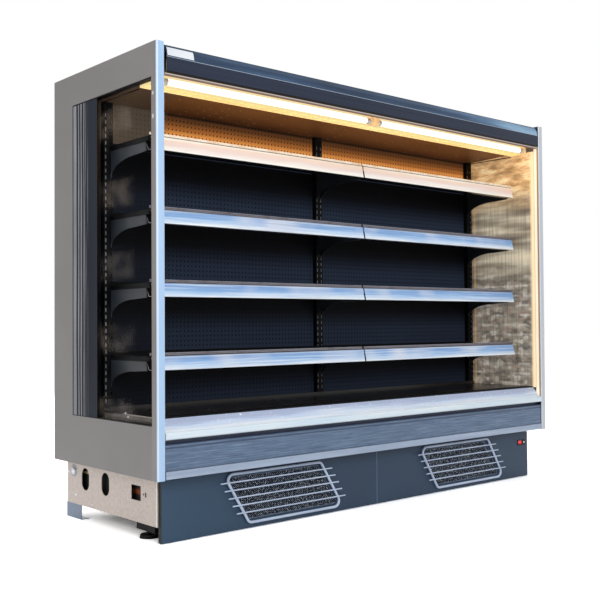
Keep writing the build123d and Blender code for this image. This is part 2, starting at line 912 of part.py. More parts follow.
def deck_tray(side):
    """Flat bottom tray with a low backstop."""
    low_x = gap / 2 if side > 0 else gap / 2 - half_inside
    with BuildPart() as tray:
        with BuildSketch(Plane.YZ.offset(low_x)):
            add(
                folded(
                    (
                        (deck_front + gap, deck_height),
                        (tray_back, deck_height),
                        (tray_back, deck_height + shelf_backstop),
                    ),
                    sheet,
                    Side.RIGHT,
                )
            )
        extrude(amount=half_inside - gap)
    return tray.part


with BuildPart() as deck_tray_left:
    add(deck_tray(-1))
deck_tray_left.part.label = "deck_tray_left"
export_step(deck_tray_left.part, "parts/deck_tray_left.step")

with BuildPart() as deck_tray_right:
    add(deck_tray(1))
deck_tray_right.part.label = "deck_tray_right"
export_step(deck_tray_right.part, "parts/deck_tray_right.step")

grille_slots = int(2 * cover_half / grille_slot_pitch)
grille_middle = (grille_front + deck_front) / 2
with BuildPart() as return_grille:
    with BuildSketch(Plane.YZ):
        add(
            folded(
                (
                    (grille_front, upstand_top),
                    (grille_front, deck_height),
                    (deck_front, deck_height),
                ),
                sheet,
                Side.RIGHT,
            )
        )
    extrude(amount=cover_half, both=True)
    with BuildSketch(Plane.XY.offset(deck_height)):
        with Locations((0, grille_middle)):
            with GridLocations(grille_slot_pitch, 2 * grille_slot_width, grille_slots, grille_slot_rows):
                Rectangle(grille_slot_length, grille_slot_width)
    extrude(amount=-sheet, mode=Mode.SUBTRACT)
return_grille.part.label = "return_grille"
export_step(return_grille.part, "parts/return_grille.step")

strip_rear = grille_front - deck_strip_thickness
strip_face_top = deck_height - deck_strip_drop
with BuildPart() as deck_ticket_strip:
    with BuildSketch(Plane.YZ):
        add(
            folded(
                (
                    (strip_rear, strip_face_top - deck_strip_leg),
                    (strip_rear, strip_face_top),
                    (front + deck_strip_front, handrail_top),
                    (front + deck_strip_front + deck_strip_foot, handrail_top),
                ),
                deck_strip_thickness,
                Side.LEFT,
            )
        )
    extrude(amount=cover_half, both=True)
deck_ticket_strip.part.label = "deck_ticket_strip"
export_step(deck_ticket_strip.part, "parts/deck_ticket_strip.step")

# ---------------------------------------------------------------- front mouldings

with BuildPart() as handrail:
    with BuildSketch(Plane.YZ):
        with Locations((front, base_height + handrail_bottom)):
            Rectangle(upstand_setback, handrail_height, align=(Align.MIN, Align.MIN))
    extrude(amount=cover_half, both=True)
    fillet(handrail.edges().filter_by(Axis.X).group_by(Axis.Y)[0], radius=handrail_radius)
handrail.part.label = "handrail"
export_step(handrail.part, "parts/handrail.step")

panel_bottom = base_height + front_panel_bottom
with BuildPart() as front_panel:
    with BuildSketch(Plane.YZ):
        add(
            folded(
                (
                    (foam_front, panel_bottom),
                    (front + front_panel_setback, panel_bottom),
                    (front + front_panel_setback, panel_bottom + front_panel_height),
                    (foam_front, panel_bottom + front_panel_height),
                ),
                sheet,
                Side.RIGHT,
            )
        )
    extrude(amount=cover_half, both=True)
front_panel.part.label = "front_panel"
export_step(front_panel.part, "parts/front_panel.step")

with BuildPart() as lower_trim:
    with BuildSketch(Plane.YZ):
        with Locations((front, base_height + trim_bottom)):
            Rectangle(upstand_setback, trim_height, align=(Align.MIN, Align.MIN))
    extrude(amount=cover_half, both=True)
    fillet(lower_trim.edges().filter_by(Axis.X).group_by(Axis.Y)[0], radius=handrail_radius / 2)
lower_trim.part.label = "lower_trim"
export_step(lower_trim.part, "parts/lower_trim.step")

# ---------------------------------------------------------------- kick panels and guards


def guard_centre(side):
    """Middle of a guard, measured from the middle of its panel."""
    return side * (kick_end + gap / 2) / 2 + guard_offset


def guard_corners(side, inset):
    """Corners of the leaning frame, or of the opening behind it when inset."""
    centre = guard_centre(side)
    half = guard_length / 2 - inset
    rise = guard_height / 2 - inset
    lean = guard_lean * rise / guard_height
    return (
        (centre - half - lean, guard_centre_height + rise),
        (centre + half - lean, guard_centre_height + rise),
        (centre + half + lean, guard_centre_height - rise),
        (centre - half + lean, guard_centre_height - rise),
    )


def kick_panel(side):
    """Folded cover with a leaning air opening."""
    low_x = gap / 2 if side > 0 else -kick_end
    length = kick_end - gap / 2
    height = kick_top - kick_clearance
    with BuildPart() as panel:
        with BuildSketch(Plane.XZ.offset(-kick_front)):
            with Locations((low_x, kick_clearance)):
                Rectangle(length, height, align=(Align.MIN, Align.MIN))
        extrude(amount=-kick_depth)
        with BuildSketch(Plane.XZ.offset(-kick_front - sheet)):
            with Locations((low_x + sheet, kick_clearance + sheet)):
                Rectangle(length - 2 * sheet, height - 2 * sheet, align=(Align.MIN, Align.MIN))
        extrude(amount=-kick_depth, mode=Mode.SUBTRACT)
        with BuildSketch(Plane.XZ.offset(-kick_front)):
            with BuildLine():
                FilletPolyline(
                    *guard_corners(side, opening_margin),
                    radius=guard_corner_radius - opening_margin,
                    close=True,
                )
            make_face()
        extrude(amount=-sheet, mode=Mode.SUBTRACT)
    return panel.part


def grille_guard(side):
    """Welded guard: a leaning tube frame, five rods across it and four stand-offs."""
    frame_y = kick_front - guard_standoff
    rod_y = frame_y - guard_tube_radius - guard_rod_radius / 2
    corners = guard_corners(side, 0)
    with BuildPart() as guard:
        with BuildLine(Plane.XZ.offset(-frame_y)) as outline:
            FilletPolyline(*corners, radius=guard_corner_radius, close=True)
        with BuildSketch(Plane(origin=outline.wire() @ 0, z_dir=outline.wire() % 0)):
            Circle(guard_tube_radius)
        sweep()
        for step in range(guard_rods):
            rod_z = guard_rod_centre_height + (step - (guard_rods - 1) / 2) * guard_rod_pitch
            shift = guard_lean * (guard_centre_height - rod_z) / guard_height
            rod_length = guard_length + 2 * guard_rod_overhang
            start_x = guard_centre(side) + shift - rod_length / 2
            with BuildSketch(Plane.YZ.offset(start_x)):
                with Locations((rod_y, rod_z)):
                    Circle(guard_rod_radius)
            extrude(amount=rod_length)
        with BuildSketch(Plane.XZ.offset(-kick_front)):
            for corner in (0, 2):
                for along in standoff_places:
                    start = corners[corner]
                    end = corners[corner + 1]
                    with Locations((start[0] + (end[0] - start[0]) * along, start[1])):
                        Circle(guard_rod_radius)
        extrude(amount=guard_standoff)
    return guard.part


with BuildPart() as kick_panel_left:
    add(kick_panel(-1))
kick_panel_left.part.label = "kick_panel_left"
export_step(kick_panel_left.part, "parts/kick_panel_left.step")

switch_offset = kick_end - switch_inset
bezel_inside = bezel_height - 2 * bezel_rim
bezel_body = bezel_width - 2 * bezel_rim
with BuildPart() as kick_panel_right:
    add(kick_panel(1))
    with BuildSketch(Plane.XZ.offset(-kick_front)):
        with Locations((switch_offset, switch_height)):
            Rectangle(bezel_body + 2 * rocker_clearance, bezel_inside + 2 * rocker_clearance)
    extrude(amount=-sheet, mode=Mode.SUBTRACT)
kick_panel_right.part.label = "kick_panel_right"
export_step(kick_panel_right.part, "parts/kick_panel_right.step")

with BuildPart() as grille_guard_left:
    add(grille_guard(-1))
grille_guard_left.part.label = "grille_guard_left"
export_step(grille_guard_left.part, "parts/grille_guard_left.step")

with BuildPart() as grille_guard_right:
    add(grille_guard(1))
grille_guard_right.part.label = "grille_guard_right"
export_step(grille_guard_right.part, "parts/grille_guard_right.step")

# ---------------------------------------------------------------- switch

rocker_x = switch_offset - rocker_side_shift
rocker_half = rocker_width / 2
pivot_y = kick_front + rocker_pivot_depth
with BuildPart() as switch_bezel:
    with BuildSketch(Plane.XZ.offset(-kick_front)):
        with Locations((switch_offset, switch_height)):
            RectangleRounded(bezel_width, bezel_height, bezel_corner_radius)
    extrude(amount=bezel_thickness)
    with BuildSketch(Plane.XZ.offset(-kick_front)):
        with Locations((switch_offset, switch_height)):
            Rectangle(bezel_body, bezel_inside)
    extrude(amount=-bezel_depth)
    with BuildSketch(Plane.XZ.offset(-kick_front + bezel_thickness)):
        with Locations((rocker_x, switch_height)):
            Rectangle(
                rocker_width + 2 * rocker_clearance,
                2 * (rocker_radius + rocker_clearance),
            )
    extrude(amount=-bezel_thickness - bezel_depth, mode=Mode.SUBTRACT)
    with BuildSketch(Plane.XZ.offset(-kick_front + bezel_thickness)):
        with Locations((switch_offset + bezel_width / 2 - pilot_inset, switch_height)):
            Circle(pilot_radius)
    extrude(amount=pilot_height)
    with BuildSketch(Plane.YZ.offset(rocker_x - rocker_half - rocker_pin_length)):
        with Locations((pivot_y, switch_height)):
            Circle(rocker_pin_radius + pin_clearance)
    extrude(amount=rocker_width + 2 * rocker_pin_length, mode=Mode.SUBTRACT)
switch_bezel.part.label = "switch_bezel"
export_step(switch_bezel.part, "parts/switch_bezel.step")

rocker_profile_plane = Plane(
    origin=(rocker_x - rocker_half, pivot_y, switch_height),
    x_dir=Vector(0, 1, 0).rotate(Axis.X, -rocker_tilt),
    z_dir=(1, 0, 0),
)
with BuildPart() as rocker_switch:
    with BuildSketch(rocker_profile_plane):
        Circle(rocker_radius)
        with BuildLine():
            Polyline(
                (-rocker_crown, -rocker_radius),
                (-rocker_crown + rocker_hollow, 0),
                (-rocker_crown, rocker_radius),
                (-2 * rocker_radius, rocker_radius),
                (-2 * rocker_radius, -rocker_radius),
                close=True,
            )
        make_face(mode=Mode.SUBTRACT)
        with Locations((rocker_radius / 2, -rocker_radius)):
            Rectangle(rocker_radius, 2 * rocker_radius, align=(Align.MIN, Align.MIN), mode=Mode.SUBTRACT)
    extrude(amount=rocker_width)
    with BuildSketch(Plane.YZ.offset(rocker_x - rocker_half - rocker_pin_length + pin_clearance)):
        with Locations((pivot_y, switch_height)):
            Circle(rocker_pin_radius)
    extrude(amount=rocker_width + 2 * rocker_pin_length - 2 * pin_clearance)
rocker_switch.part.label = "rocker_switch"
export_step(rocker_switch.part, "parts/rocker_switch.step")

# ---------------------------------------------------------------- cooling unit


def fan_rotor(centre_x, centre_y, centre_z, radius):
    """Axial rotor with twisted blades on a hub, its shaft pointing back."""
    with BuildPart() as rotor:
        for blade in range(fan_blades):
            outward = Vector(0, 0, 1).rotate(Axis.Y, blade * 360 / fan_blades)
            across = Vector(1, 0, 0).rotate(Axis.Y, blade * 360 / fan_blades)
            middle = Vector(centre_x, centre_y, centre_z)
            root = middle + outward * (fan_hub_radius - blade_root_depth)
            with BuildSketch(Plane(root, across, outward)):
                Rectangle(blade_root_chord, blade_thickness, rotation=blade_root_pitch)
            with BuildSketch(Plane(middle + outward * radius, across, outward)):
                Rectangle(blade_tip_chord, blade_thickness, rotation=blade_tip_pitch)
            loft()
        with BuildSketch(Plane.XZ.offset(-centre_y + fan_hub_depth / 2)):
            with Locations((centre_x, centre_z)):
                Circle(fan_hub_radius)
        extrude(amount=-fan_hub_depth)
        with BuildSketch(Plane.XZ.offset(-centre_y)):
            with Locations((centre_x, centre_z)):
                Circle(fan_shaft_radius)
        extrude(amount=-fan_hub_depth / 2 - fan_motor_gap - fan_shaft_reach)
    return rotor.part


def fan_mounting(centre_x, centre_y, centre_z, radius):
    """Motor behind the rotor, held by a four-armed spider that stands on the fan plate."""
    motor_y = centre_y + fan_hub_depth / 2 + fan_motor_gap
    arm_back = motor_y + spider_setback + spider_thickness
    reach = radius + fan_bore_clearance + spider_margin + spider_width
    with BuildPart() as mounting:
        with BuildSketch(Plane.XZ.offset(-motor_y)):
            with Locations((centre_x, centre_z)):
                Circle(fan_motor_radius)
        extrude(amount=-fan_motor_depth)
        with BuildSketch(Plane.XZ.offset(-arm_back)):
            with Locations((centre_x, centre_z)):
                Rectangle(2 * reach, spider_width, rotation=45)
                Rectangle(2 * reach, spider_width, rotation=-45)
        extrude(amount=spider_thickness)
        with BuildSketch(Plane.XZ.offset(-centre_y)):
            with Locations((centre_x, centre_z)):
                with PolarLocations(reach - spider_width / 2, 4, start_angle=45):
                    Rectangle(spider_width, spider_width)
        extrude(amount=centre_y - arm_back)
        with BuildSketch(Plane.XZ.offset(-motor_y)):
            with Locations((centre_x, centre_z)):
                Circle(fan_shaft_radius + pin_clearance)
        extrude(amount=-fan_bore_depth, mode=Mode.SUBTRACT)
    return mounting.part


fan_places = (-fan_offset, fan_offset)
with BuildPart() as evaporator_fan_plate:
    with BuildSketch(Plane.XZ.offset(-fan_wall_y)):
        with Locations((0, floor_at(fan_wall_y - sheet))):
            Rectangle(
                2 * half_inside,
                bearer_top - floor_at(fan_wall_y - sheet),
                align=(Align.CENTER, Align.MIN),
            )
        with Locations([(place, fan_height) for place in fan_places]):
            Circle(fan_radius + fan_bore_clearance, mode=Mode.SUBTRACT)
    extrude(amount=sheet)
    with BuildSketch(Plane.XY.offset(bearer_top - sheet)):
        with Locations((0, fan_wall_y)):
            Rectangle(2 * half_inside, bearer_flange, align=(Align.CENTER, Align.MIN))
    extrude(amount=sheet)
    for place in fan_places:
        add(fan_mounting(place, fan_wall_y, fan_height, fan_radius))
evaporator_fan_plate.part.label = "evaporator_fan_plate"
export_step(evaporator_fan_plate.part, "parts/evaporator_fan_plate.step")

with BuildPart() as evaporator_fan_left:
    add(fan_rotor(-fan_offset, fan_wall_y, fan_height, fan_radius))
evaporator_fan_left.part.label = "evaporator_fan_left"
export_step(evaporator_fan_left.part, "parts/evaporator_fan_left.step")

with BuildPart() as evaporator_fan_right:
    add(fan_rotor(fan_offset, fan_wall_y, fan_height, fan_radius))
evaporator_fan_right.part.label = "evaporator_fan_right"
export_step(evaporator_fan_right.part, "parts/evaporator_fan_right.step")


def finned_block(centre_x, front_y, bottom_z, size, fins, bends):
    """Fin pack whose front and back faces are grooved between the fins, with return bends."""
    length, depth, height = size
    with BuildPart() as block:
        with BuildSketch(Plane.XY.offset(bottom_z)):
            with Locations((centre_x, front_y)):
                Rectangle(length, depth, align=(Align.CENTER, Align.MIN))
            for groove_y in (front_y, front_y + depth):
                with Locations((centre_x, groove_y)):
                    with GridLocations(length / fins, 1, fins, 1):
                        Rectangle(fin_groove, 2 * fin_groove_depth, mode=Mode.SUBTRACT)
        extrude(amount=height)
        for step in range(bends):
            bend_z = bottom_z + height * (step + 0.5) / bends
            root_x = centre_x + length / 2 - coil_bend_root
            turn_x = centre_x + length / 2 + coil_bend_straight
            with BuildLine(Plane.XZ.offset(-front_y - depth / 2)) as bend:
                Polyline(
                    (root_x, bend_z - coil_bend_radius),
                    (turn_x, bend_z - coil_bend_radius),
                )
                ThreePointArc(
                    (turn_x, bend_z - coil_bend_radius),
                    (turn_x + coil_bend_radius, bend_z),
                    (turn_x, bend_z + coil_bend_radius),
                )
                Polyline(
                    (turn_x, bend_z + coil_bend_radius),
                    (root_x, bend_z + coil_bend_radius),
                )
            with BuildSketch(Plane(origin=bend.wire() @ 0, z_dir=bend.wire() % 0)):
                Circle(coil_bend_radius / 2)
            sweep()
    return block.part


coil_front = back_panel_front + coil_front_gap
coil_length = 2 * (half_inside - coil_end_space)
with BuildPart() as evaporator_coil:
    add(
        finned_block(
            0,
            coil_front,
            tub_floor + coil_lift,
            (coil_length, coil_depth, coil_height),
            coil_fins,
            coil_bends,
        )
    )
    for end in (-1, 1):
        with BuildSketch(Plane.YZ.offset(end * coil_length / 2)):
            with BuildLine():
                Polyline(
                    (coil_front, floor_at(coil_front)),
                    (coil_front + coil_depth, floor_at(coil_front + coil_depth)),
                    (coil_front + coil_depth, tub_floor + coil_lift + coil_height),
                    (coil_front, tub_floor + coil_lift + coil_height),
                    close=True,
                )
            make_face()
        extrude(amount=-end * plate)
evaporator_coil.part.label = "evaporator_coil"
export_step(evaporator_coil.part, "parts/evaporator_coil.step")

condenser_centre = condenser_shift - kick_end / 2
unit_tray_start = condenser_centre - condenser_length / 2 - unit_tray_margin
unit_tray_end = unit_tray_start + unit_tray_length
tray_front = front_rail_y + plate
tray_rear = back_rail_y - plate
tray_level = rail_bottom + plate
with BuildPart() as condensing_tray:
    with BuildSketch(Plane.XY.offset(tray_level)):
        with Locations((unit_tray_start, tray_front)):
            Rectangle(unit_tray_length, tray_rear - tray_front, align=(Align.MIN, Align.MIN))
    extrude(amount=sheet)
    with BuildSketch(Plane.XY.offset(tray_level)):
        with Locations((unit_tray_start, tray_front), (unit_tray_end - sheet, tray_front)):
            Rectangle(sheet, tray_rear - tray_front, align=(Align.MIN, Align.MIN))
    extrude(amount=unit_tray_rim)
condensing_tray.part.label = "condensing_tray"
export_step(condensing_tray.part, "parts/condensing_tray.step")

unit_floor = tray_level + sheet
condenser_front = front_rail_y + rail_depth + condenser_front_gap
condenser_back = condenser_front + condenser_depth
condenser_fan_y = condenser_back + shroud_depth
condenser_fan_height = unit_floor + condenser_height / 2
with BuildPart() as condenser_coil:
    add(
        finned_block(
            condenser_centre,
            condenser_front,
            unit_floor,
            (condenser_length, condenser_depth, condenser_height),
            condenser_fins,
            condenser_bends,
        )
    )
    with BuildSketch(Plane.XZ.offset(-condenser_back)):
        with Locations((condenser_centre, condenser_fan_height)):
            Rectangle(condenser_length, condenser_height)
            Rectangle(condenser_length - 2 * sheet, condenser_height - 2 * sheet, mode=Mode.SUBTRACT)
    extrude(amount=-shroud_depth)
    with BuildSketch(Plane.XZ.offset(-condenser_fan_y)):
        with Locations((condenser_centre, condenser_fan_height)):
            Rectangle(condenser_length, condenser_height)
            Circle(condenser_fan_radius + fan_bore_clearance, mode=Mode.SUBTRACT)
    extrude(amount=sheet)
    add(fan_mounting(condenser_centre, condenser_fan_y, condenser_fan_height, condenser_fan_radius))
condenser_coil.part.label = "condenser_coil"
export_step(condenser_coil.part, "parts/condenser_coil.step")

with BuildPart() as condenser_fan:
    add(fan_rotor(condenser_centre, condenser_fan_y, condenser_fan_height, condenser_fan_radius))
condenser_fan.part.label = "condenser_fan"
export_step(condenser_fan.part, "parts/condenser_fan.step")

compressor_x = unit_tray_end - compressor_inset
compressor_y = back - compressor_back_space
shell_bottom = unit_floor + compressor_foot_height
with BuildPart() as compressor:
    with BuildSketch(Plane.XY.offset(shell_bottom)):
        with Locations((compressor_x, compressor_y)):
            Circle(compressor_radius)
    extrude(amount=compressor_height)
    fillet(compressor.edges().filter_by(GeomType.CIRCLE).sort_by(Axis.Z)[-1], radius=compressor_crown)
    fillet(compressor.edges().filter_by(GeomType.CIRCLE).sort_by(Axis.Z)[0], radius=compressor_sump)
    with BuildSketch(Plane.XY.offset(shell_bottom - sheet)):
        with Locations((compressor_x, compressor_y)):
            RectangleRounded(compressor_foot_span, compressor_foot_depth, compressor_foot_corner)
    extrude(amount=2 * sheet)
    with BuildSketch(Plane.XY.offset(unit_floor)):
        with Locations((compressor_x, compressor_y)):
            with GridLocations(
                compressor_foot_span - 2 * compressor_foot_inset,
                compressor_foot_depth - 2 * compressor_foot_inset,
                2,
                2,
            ):
                Circle(compressor_foot_radius)
    extrude(amount=shell_bottom - sheet - unit_floor)
    with BuildSketch(Plane.YZ.offset(compressor_x + compressor_radius - terminal_root)):
        with Locations((compressor_y, shell_bottom + terminal_rise)):
            Rectangle(terminal_width, terminal_height)
    extrude(amount=terminal_depth)
compressor.part.label = "compressor"
export_step(compressor.part, "parts/compressor.step")

box_x = switch_offset - box_shift
with BuildPart() as electrical_box:
    with BuildSketch(Plane.XY.offset(rail_top)):
        with Locations((box_x, front_rail_y)):
            Rectangle(box_length, box_depth, align=(Align.CENTER, Align.MIN))
    extrude(amount=box_height)
    fillet(electrical_box.edges().filter_by(Axis.Z), radius=box_corner_radius)
electrical_box.part.label = "electrical_box"
export_step(electrical_box.part, "parts/electrical_box.step")
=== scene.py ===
import itertools
import math
import bpy
from mathutils import Matrix, Vector


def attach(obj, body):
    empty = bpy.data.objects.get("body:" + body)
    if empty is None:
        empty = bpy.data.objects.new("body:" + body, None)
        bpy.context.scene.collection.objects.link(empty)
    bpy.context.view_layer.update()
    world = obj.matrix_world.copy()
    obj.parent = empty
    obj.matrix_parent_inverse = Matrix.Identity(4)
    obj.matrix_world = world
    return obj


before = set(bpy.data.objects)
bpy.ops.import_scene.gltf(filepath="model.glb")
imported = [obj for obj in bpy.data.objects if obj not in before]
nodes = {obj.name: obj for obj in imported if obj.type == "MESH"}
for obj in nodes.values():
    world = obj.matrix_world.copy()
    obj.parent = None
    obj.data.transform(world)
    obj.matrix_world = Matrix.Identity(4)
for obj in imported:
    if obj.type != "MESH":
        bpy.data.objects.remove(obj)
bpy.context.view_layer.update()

# Places that the CAD sets, in metres: x to the right, y to the back, z up from the floor.
SIDES = (("left", -1), ("right", 1))
FRONT, POST_BACK = -0.431, -0.396  # the end posts' front and back faces
SHELF_TOPS = (1.642, 1.342, 1.042, 0.742)  # display shelves 1 to 4
SHELF_PITCH = 0.3
LOWEST_SHELF = SHELF_TOPS[-1]
PLATE_FACE = 1.2260  # outer face of the base's side plates
PANE_FACE = 1.2870  # outer face of the outer panes
WINDOW_LOW, WINDOW_HIGH = 0.4755, 1.8425  # trim in the window openings
COVER_FRONT = 0.0380  # front edge of the cover strips between the panes
COVER_BACK = 0.1180  # where the ribs begin
TUBE_MIDDLE = 0.617  # from the cabinet's middle to that of a lamp tube
PILOT_FACE = -0.3545  # only the pilot lens stands in front of this plane

EVEN = (1, 1, 1)  # no stretch


# ------------------------------------------------------------------ node helpers

def colour(r, g, b):
    """Linear colour from 0-255 screen values."""
    channels = [((v / 255 + 0.055) / 1.055) ** 2.4 if v > 10 else v / 3294 for v in (r, g, b)]
    return (*channels, 1.0)


def start(name):
    """A new material and its node tree."""
    material = bpy.data.materials.new(name)
    material.use_nodes = True
    return material, material.node_tree


def feed(tree, node, inputs):
    """Links or sets a node's inputs, given as (socket, output socket or value) pairs."""
    for key, value in inputs:
        if isinstance(value, bpy.types.NodeSocket):
            tree.links.new(value, node.inputs[key])
        else:
            node.inputs[key].default_value = value


def put(tree, kind, inputs=(), **settings):
    """Adds a node."""
    node = tree.nodes.new("ShaderNode" + kind)
    for key, value in settings.items():
        setattr(node, key, value)
    feed(tree, node, inputs)
    return node


def math_node(tree, operation, *values):
    return put(tree, "Math", enumerate(values), operation=operation).outputs[0]


def times(tree, product, *factors):
    for factor in factors:
        product = math_node(tree, "MULTIPLY", product, factor)
    return product


def either(tree, first, second):
    """The larger of two masks."""
    return math_node(tree, "MAXIMUM", first, second)


def place(tree, stretch=EVEN, offset=(0, 0, 0)):
    """Object coordinates in metres, stretched, then shifted."""
    coordinates = put(tree, "TexCoord").outputs["Object"]
    inputs = [("Vector", coordinates), ("Scale", stretch), ("Location", offset)]
    return put(tree, "Mapping", inputs).outputs[0]


def axes(tree):
    """Object X, Y and Z as separate values, in metres."""
    return put(tree, "SeparateXYZ", [(0, put(tree, "TexCoord").outputs["Object"])]).outputs


def above(tree, height, lowest, pitch):
    """Height above the nearest level below, where levels repeat from the lowest one."""
    return math_node(tree, "WRAP", math_node(tree, "SUBTRACT", height, lowest), pitch, 0.0)


def noise(tree, stretch, scale, detail=3, roughness=0.55, offset=(0, 0, 0)):
    return put(
        tree, "TexNoise",
        [("Vector", place(tree, stretch, offset)), ("Scale", scale), ("Detail", detail),
         ("Roughness", roughness)],
    ).outputs["Fac"]


def ramp(tree, value, stops):
    """Colour ramp; stops are (position, screen colour)."""
    node = put(tree, "ValToRGB", [(0, value)])
    elements = node.color_ramp.elements
    while len(elements) < len(stops):
        elements.new(0.5)
    for element, (position, tone) in zip(elements, stops):
        element.position = position
        element.color = colour(*tone)
    return node.outputs["Color"]


def two_tones(tree, value, dark, light):
    """Drifts between two screen colours over the middle of a noise's range."""
    return ramp(tree, value, [(0.3, dark), (0.7, light)])


def spread(tree, value, low, high, source=(0, 1)):
    """Maps a value from the source range onto low..high, clamped."""
    return put(
        tree, "MapRange",
        [("Value", value), ("From Min", source[0]), ("From Max", source[1]),
         ("To Min", low), ("To Max", high)],
    ).outputs[0]


def mix(tree, factor, first, second):
    """Mixes two colours, each an output socket or a screen colour."""
    first, second = (colour(*t) if isinstance(t, tuple) else t for t in (first, second))
    inputs = [(0, factor), (6, first), (7, second)]
    return put(tree, "Mix", inputs, data_type="RGBA").outputs[2]


def mix_value(tree, factor, first, second):
    return put(tree, "Mix", [(0, factor), (2, first), (3, second)], data_type="FLOAT").outputs[0]


def bump(tree, height, strength, distance=0.001):
    inputs = [("Height", height), ("Strength", strength), ("Distance", distance)]
    return put(tree, "Bump", inputs).outputs[0]


def within(tree, value, low, high, soft=0.0004):
    """1 between low and high, 0 outside, with soft edges."""
    return times(
        tree, spread(tree, value, 0, 1, (low - soft, low + soft)),
        spread(tree, value, 1, 0, (high - soft, high + soft)),
    )


def dots(tree, u, v, pitch_u, pitch_v, radius):
    """1 inside round holes on a grid, 0 between them."""
    du = math_node(tree, "WRAP", u, pitch_u / 2, -pitch_u / 2)
    dv = math_node(tree, "WRAP", v, pitch_v / 2, -pitch_v / 2)
    distance = math_node(
        tree, "SQRT", math_node(tree, "ADD", times(tree, du, du), times(tree, dv, dv)),
    )
    return spread(tree, distance, 1, 0, (radius * 0.8, radius * 1.2))


def coat(material, tone, roughness, normal=None, glow=None, glow_tone=None, alpha=None,
         metallic=0.0, specular=0.5):
    """Fills in the material's surface shader; it shines in its own tone where no other is given."""
    if glow is not None and glow_tone is None:
        glow_tone = tone
    inputs = (
        ("Base Color", tone), ("Roughness", roughness), ("Normal", normal), ("Alpha", alpha),
        ("Emission Color", glow_tone), ("Emission Strength", glow),
        ("Metallic", metallic), ("Specular IOR Level", specular),
    )
    tree = material.node_tree
    given = [(key, value) for key, value in inputs if value is not None]
    feed(tree, tree.nodes["Principled BSDF"], given)
    return material


# ------------------------------------------------------------------ materials

def painted(name, dark, light, roughness=(0.4, 0.5), metallic=0.0, stretch=EVEN, scale=3.0,
            grain=900, grain_strength=0.06, specular=0.5):
    """Painted, moulded or drawn surface: broad tone drift, fine grain and uneven gloss."""
    material, tree = start(name)
    broad = noise(tree, stretch, scale, 4)
    fine = noise(tree, stretch, grain, 2)
    return coat(
        material, two_tones(tree, broad, dark, light), spread(tree, broad, *roughness),
        bump(tree, fine, grain_strength), metallic=metallic, specular=specular,
    )


trim_metal = painted(
    "trim_metal", (138, 154, 178), (162, 176, 198), (0.3, 0.4), metallic=0.25,
    stretch=(0.5, 8, 8), scale=5, grain=500, grain_strength=0.03,
)
bumper = painted(
    "bumper", (216, 236, 252), (240, 250, 255), (0.3, 0.38),
    stretch=(0.5, 4, 6), scale=4, grain=700, grain_strength=0.03,
)
guard_paint = painted(
    "guard_paint", (182, 198, 226), (206, 220, 242), (0.35, 0.45), scale=9, grain=1600,
)
skid_paint = painted("skid_paint", (98, 112, 134), (116, 132, 154), scale=9, grain=1200)
interior = painted(
    "interior", (7, 8, 10), (12, 13, 17), (0.45, 0.55), scale=2, grain=1500, specular=0.1,
)
shelf_paint = painted(
    "shelf_paint", (4, 4, 5), (8, 8, 10), (0.5, 0.6), scale=4, grain=1500, specular=0.1,
)
bracket_paint = painted("bracket_paint", (24, 28, 34), (38, 43, 50), scale=5, grain=1500)
deck_paint = painted(
    "deck_paint", (24, 22, 22), (40, 36, 33), (0.2, 0.32), scale=2.5, grain=1500,
)
foam_skin = painted("foam_skin", (150, 152, 154), (168, 170, 172), scale=1.3)
black_rubber = painted(
    "black_rubber", (3, 3, 4), (8, 8, 9), (0.5, 0.7), scale=12, grain=700, specular=0.12,
)
slot_metal = painted(
    "slot_metal", (120, 124, 130), (160, 164, 170), (0.3, 0.4), metallic=0.4, scale=60,
)
zinc_dull = painted("zinc_dull", (120, 122, 128), (150, 152, 158), metallic=0.4, scale=40)
compressor_paint = painted("compressor_paint", (16, 16, 17), (30, 30, 32), (0.25, 0.4), scale=9)
box_plastic = painted("box_plastic", (176, 176, 172), (192, 192, 188), (0.45, 0.55), scale=6)
screw_metal = painted(
    "screw_metal", (176, 180, 186), (206, 208, 212), (0.25, 0.4), metallic=0.7, scale=60,
)
plain_badge = painted("plain_badge", (228, 234, 243), (242, 246, 251), (0.3, 0.4), scale=8)
rib_dark = painted(
    "rib_dark", (12, 14, 20), (30, 34, 44), (0.5, 0.6), stretch=(1, 1, 0.3), scale=12,
    specular=0.1,
)
rib_light = painted(
    "rib_light", (112, 115, 122), (142, 144, 150), stretch=(1, 1, 0.3), scale=12, specular=0.2,
)
cover_blue = painted(
    "cover_blue", (14, 19, 29), (28, 36, 50), (0.5, 0.6), stretch=(1, 1, 0.2), scale=5,
    specular=0.1,
)
sill_brown = painted("sill_brown", (62, 55, 50), (84, 76, 70), (0.3, 0.4), scale=8)
cap_edge = painted("cap_edge", (150, 150, 156), (214, 212, 210), (0.15, 0.25), scale=60)


def wall_paint():
    """Warm grey paint, black on the faces of the window opening between the panes."""
    material, tree = start("grey_paint")
    x, y, z = axes(tree)
    broad = noise(tree, EVEN, 1.6, 4)
    tone = two_tones(tree, broad, (113, 109, 109), (125, 121, 121))
    opening = times(
        tree, within(tree, math_node(tree, "ABSOLUTE", x), 1.2512, 1.2886),
        within(tree, y, -0.3980, 0.2550), within(tree, z, 0.4730, 1.8450),
    )
    return coat(
        material, mix(tree, opening, tone, (8, 8, 9)), spread(tree, broad, 0.4, 0.5),
        bump(tree, noise(tree, EVEN, 1400, 2), 0.06), specular=0.35,
    )


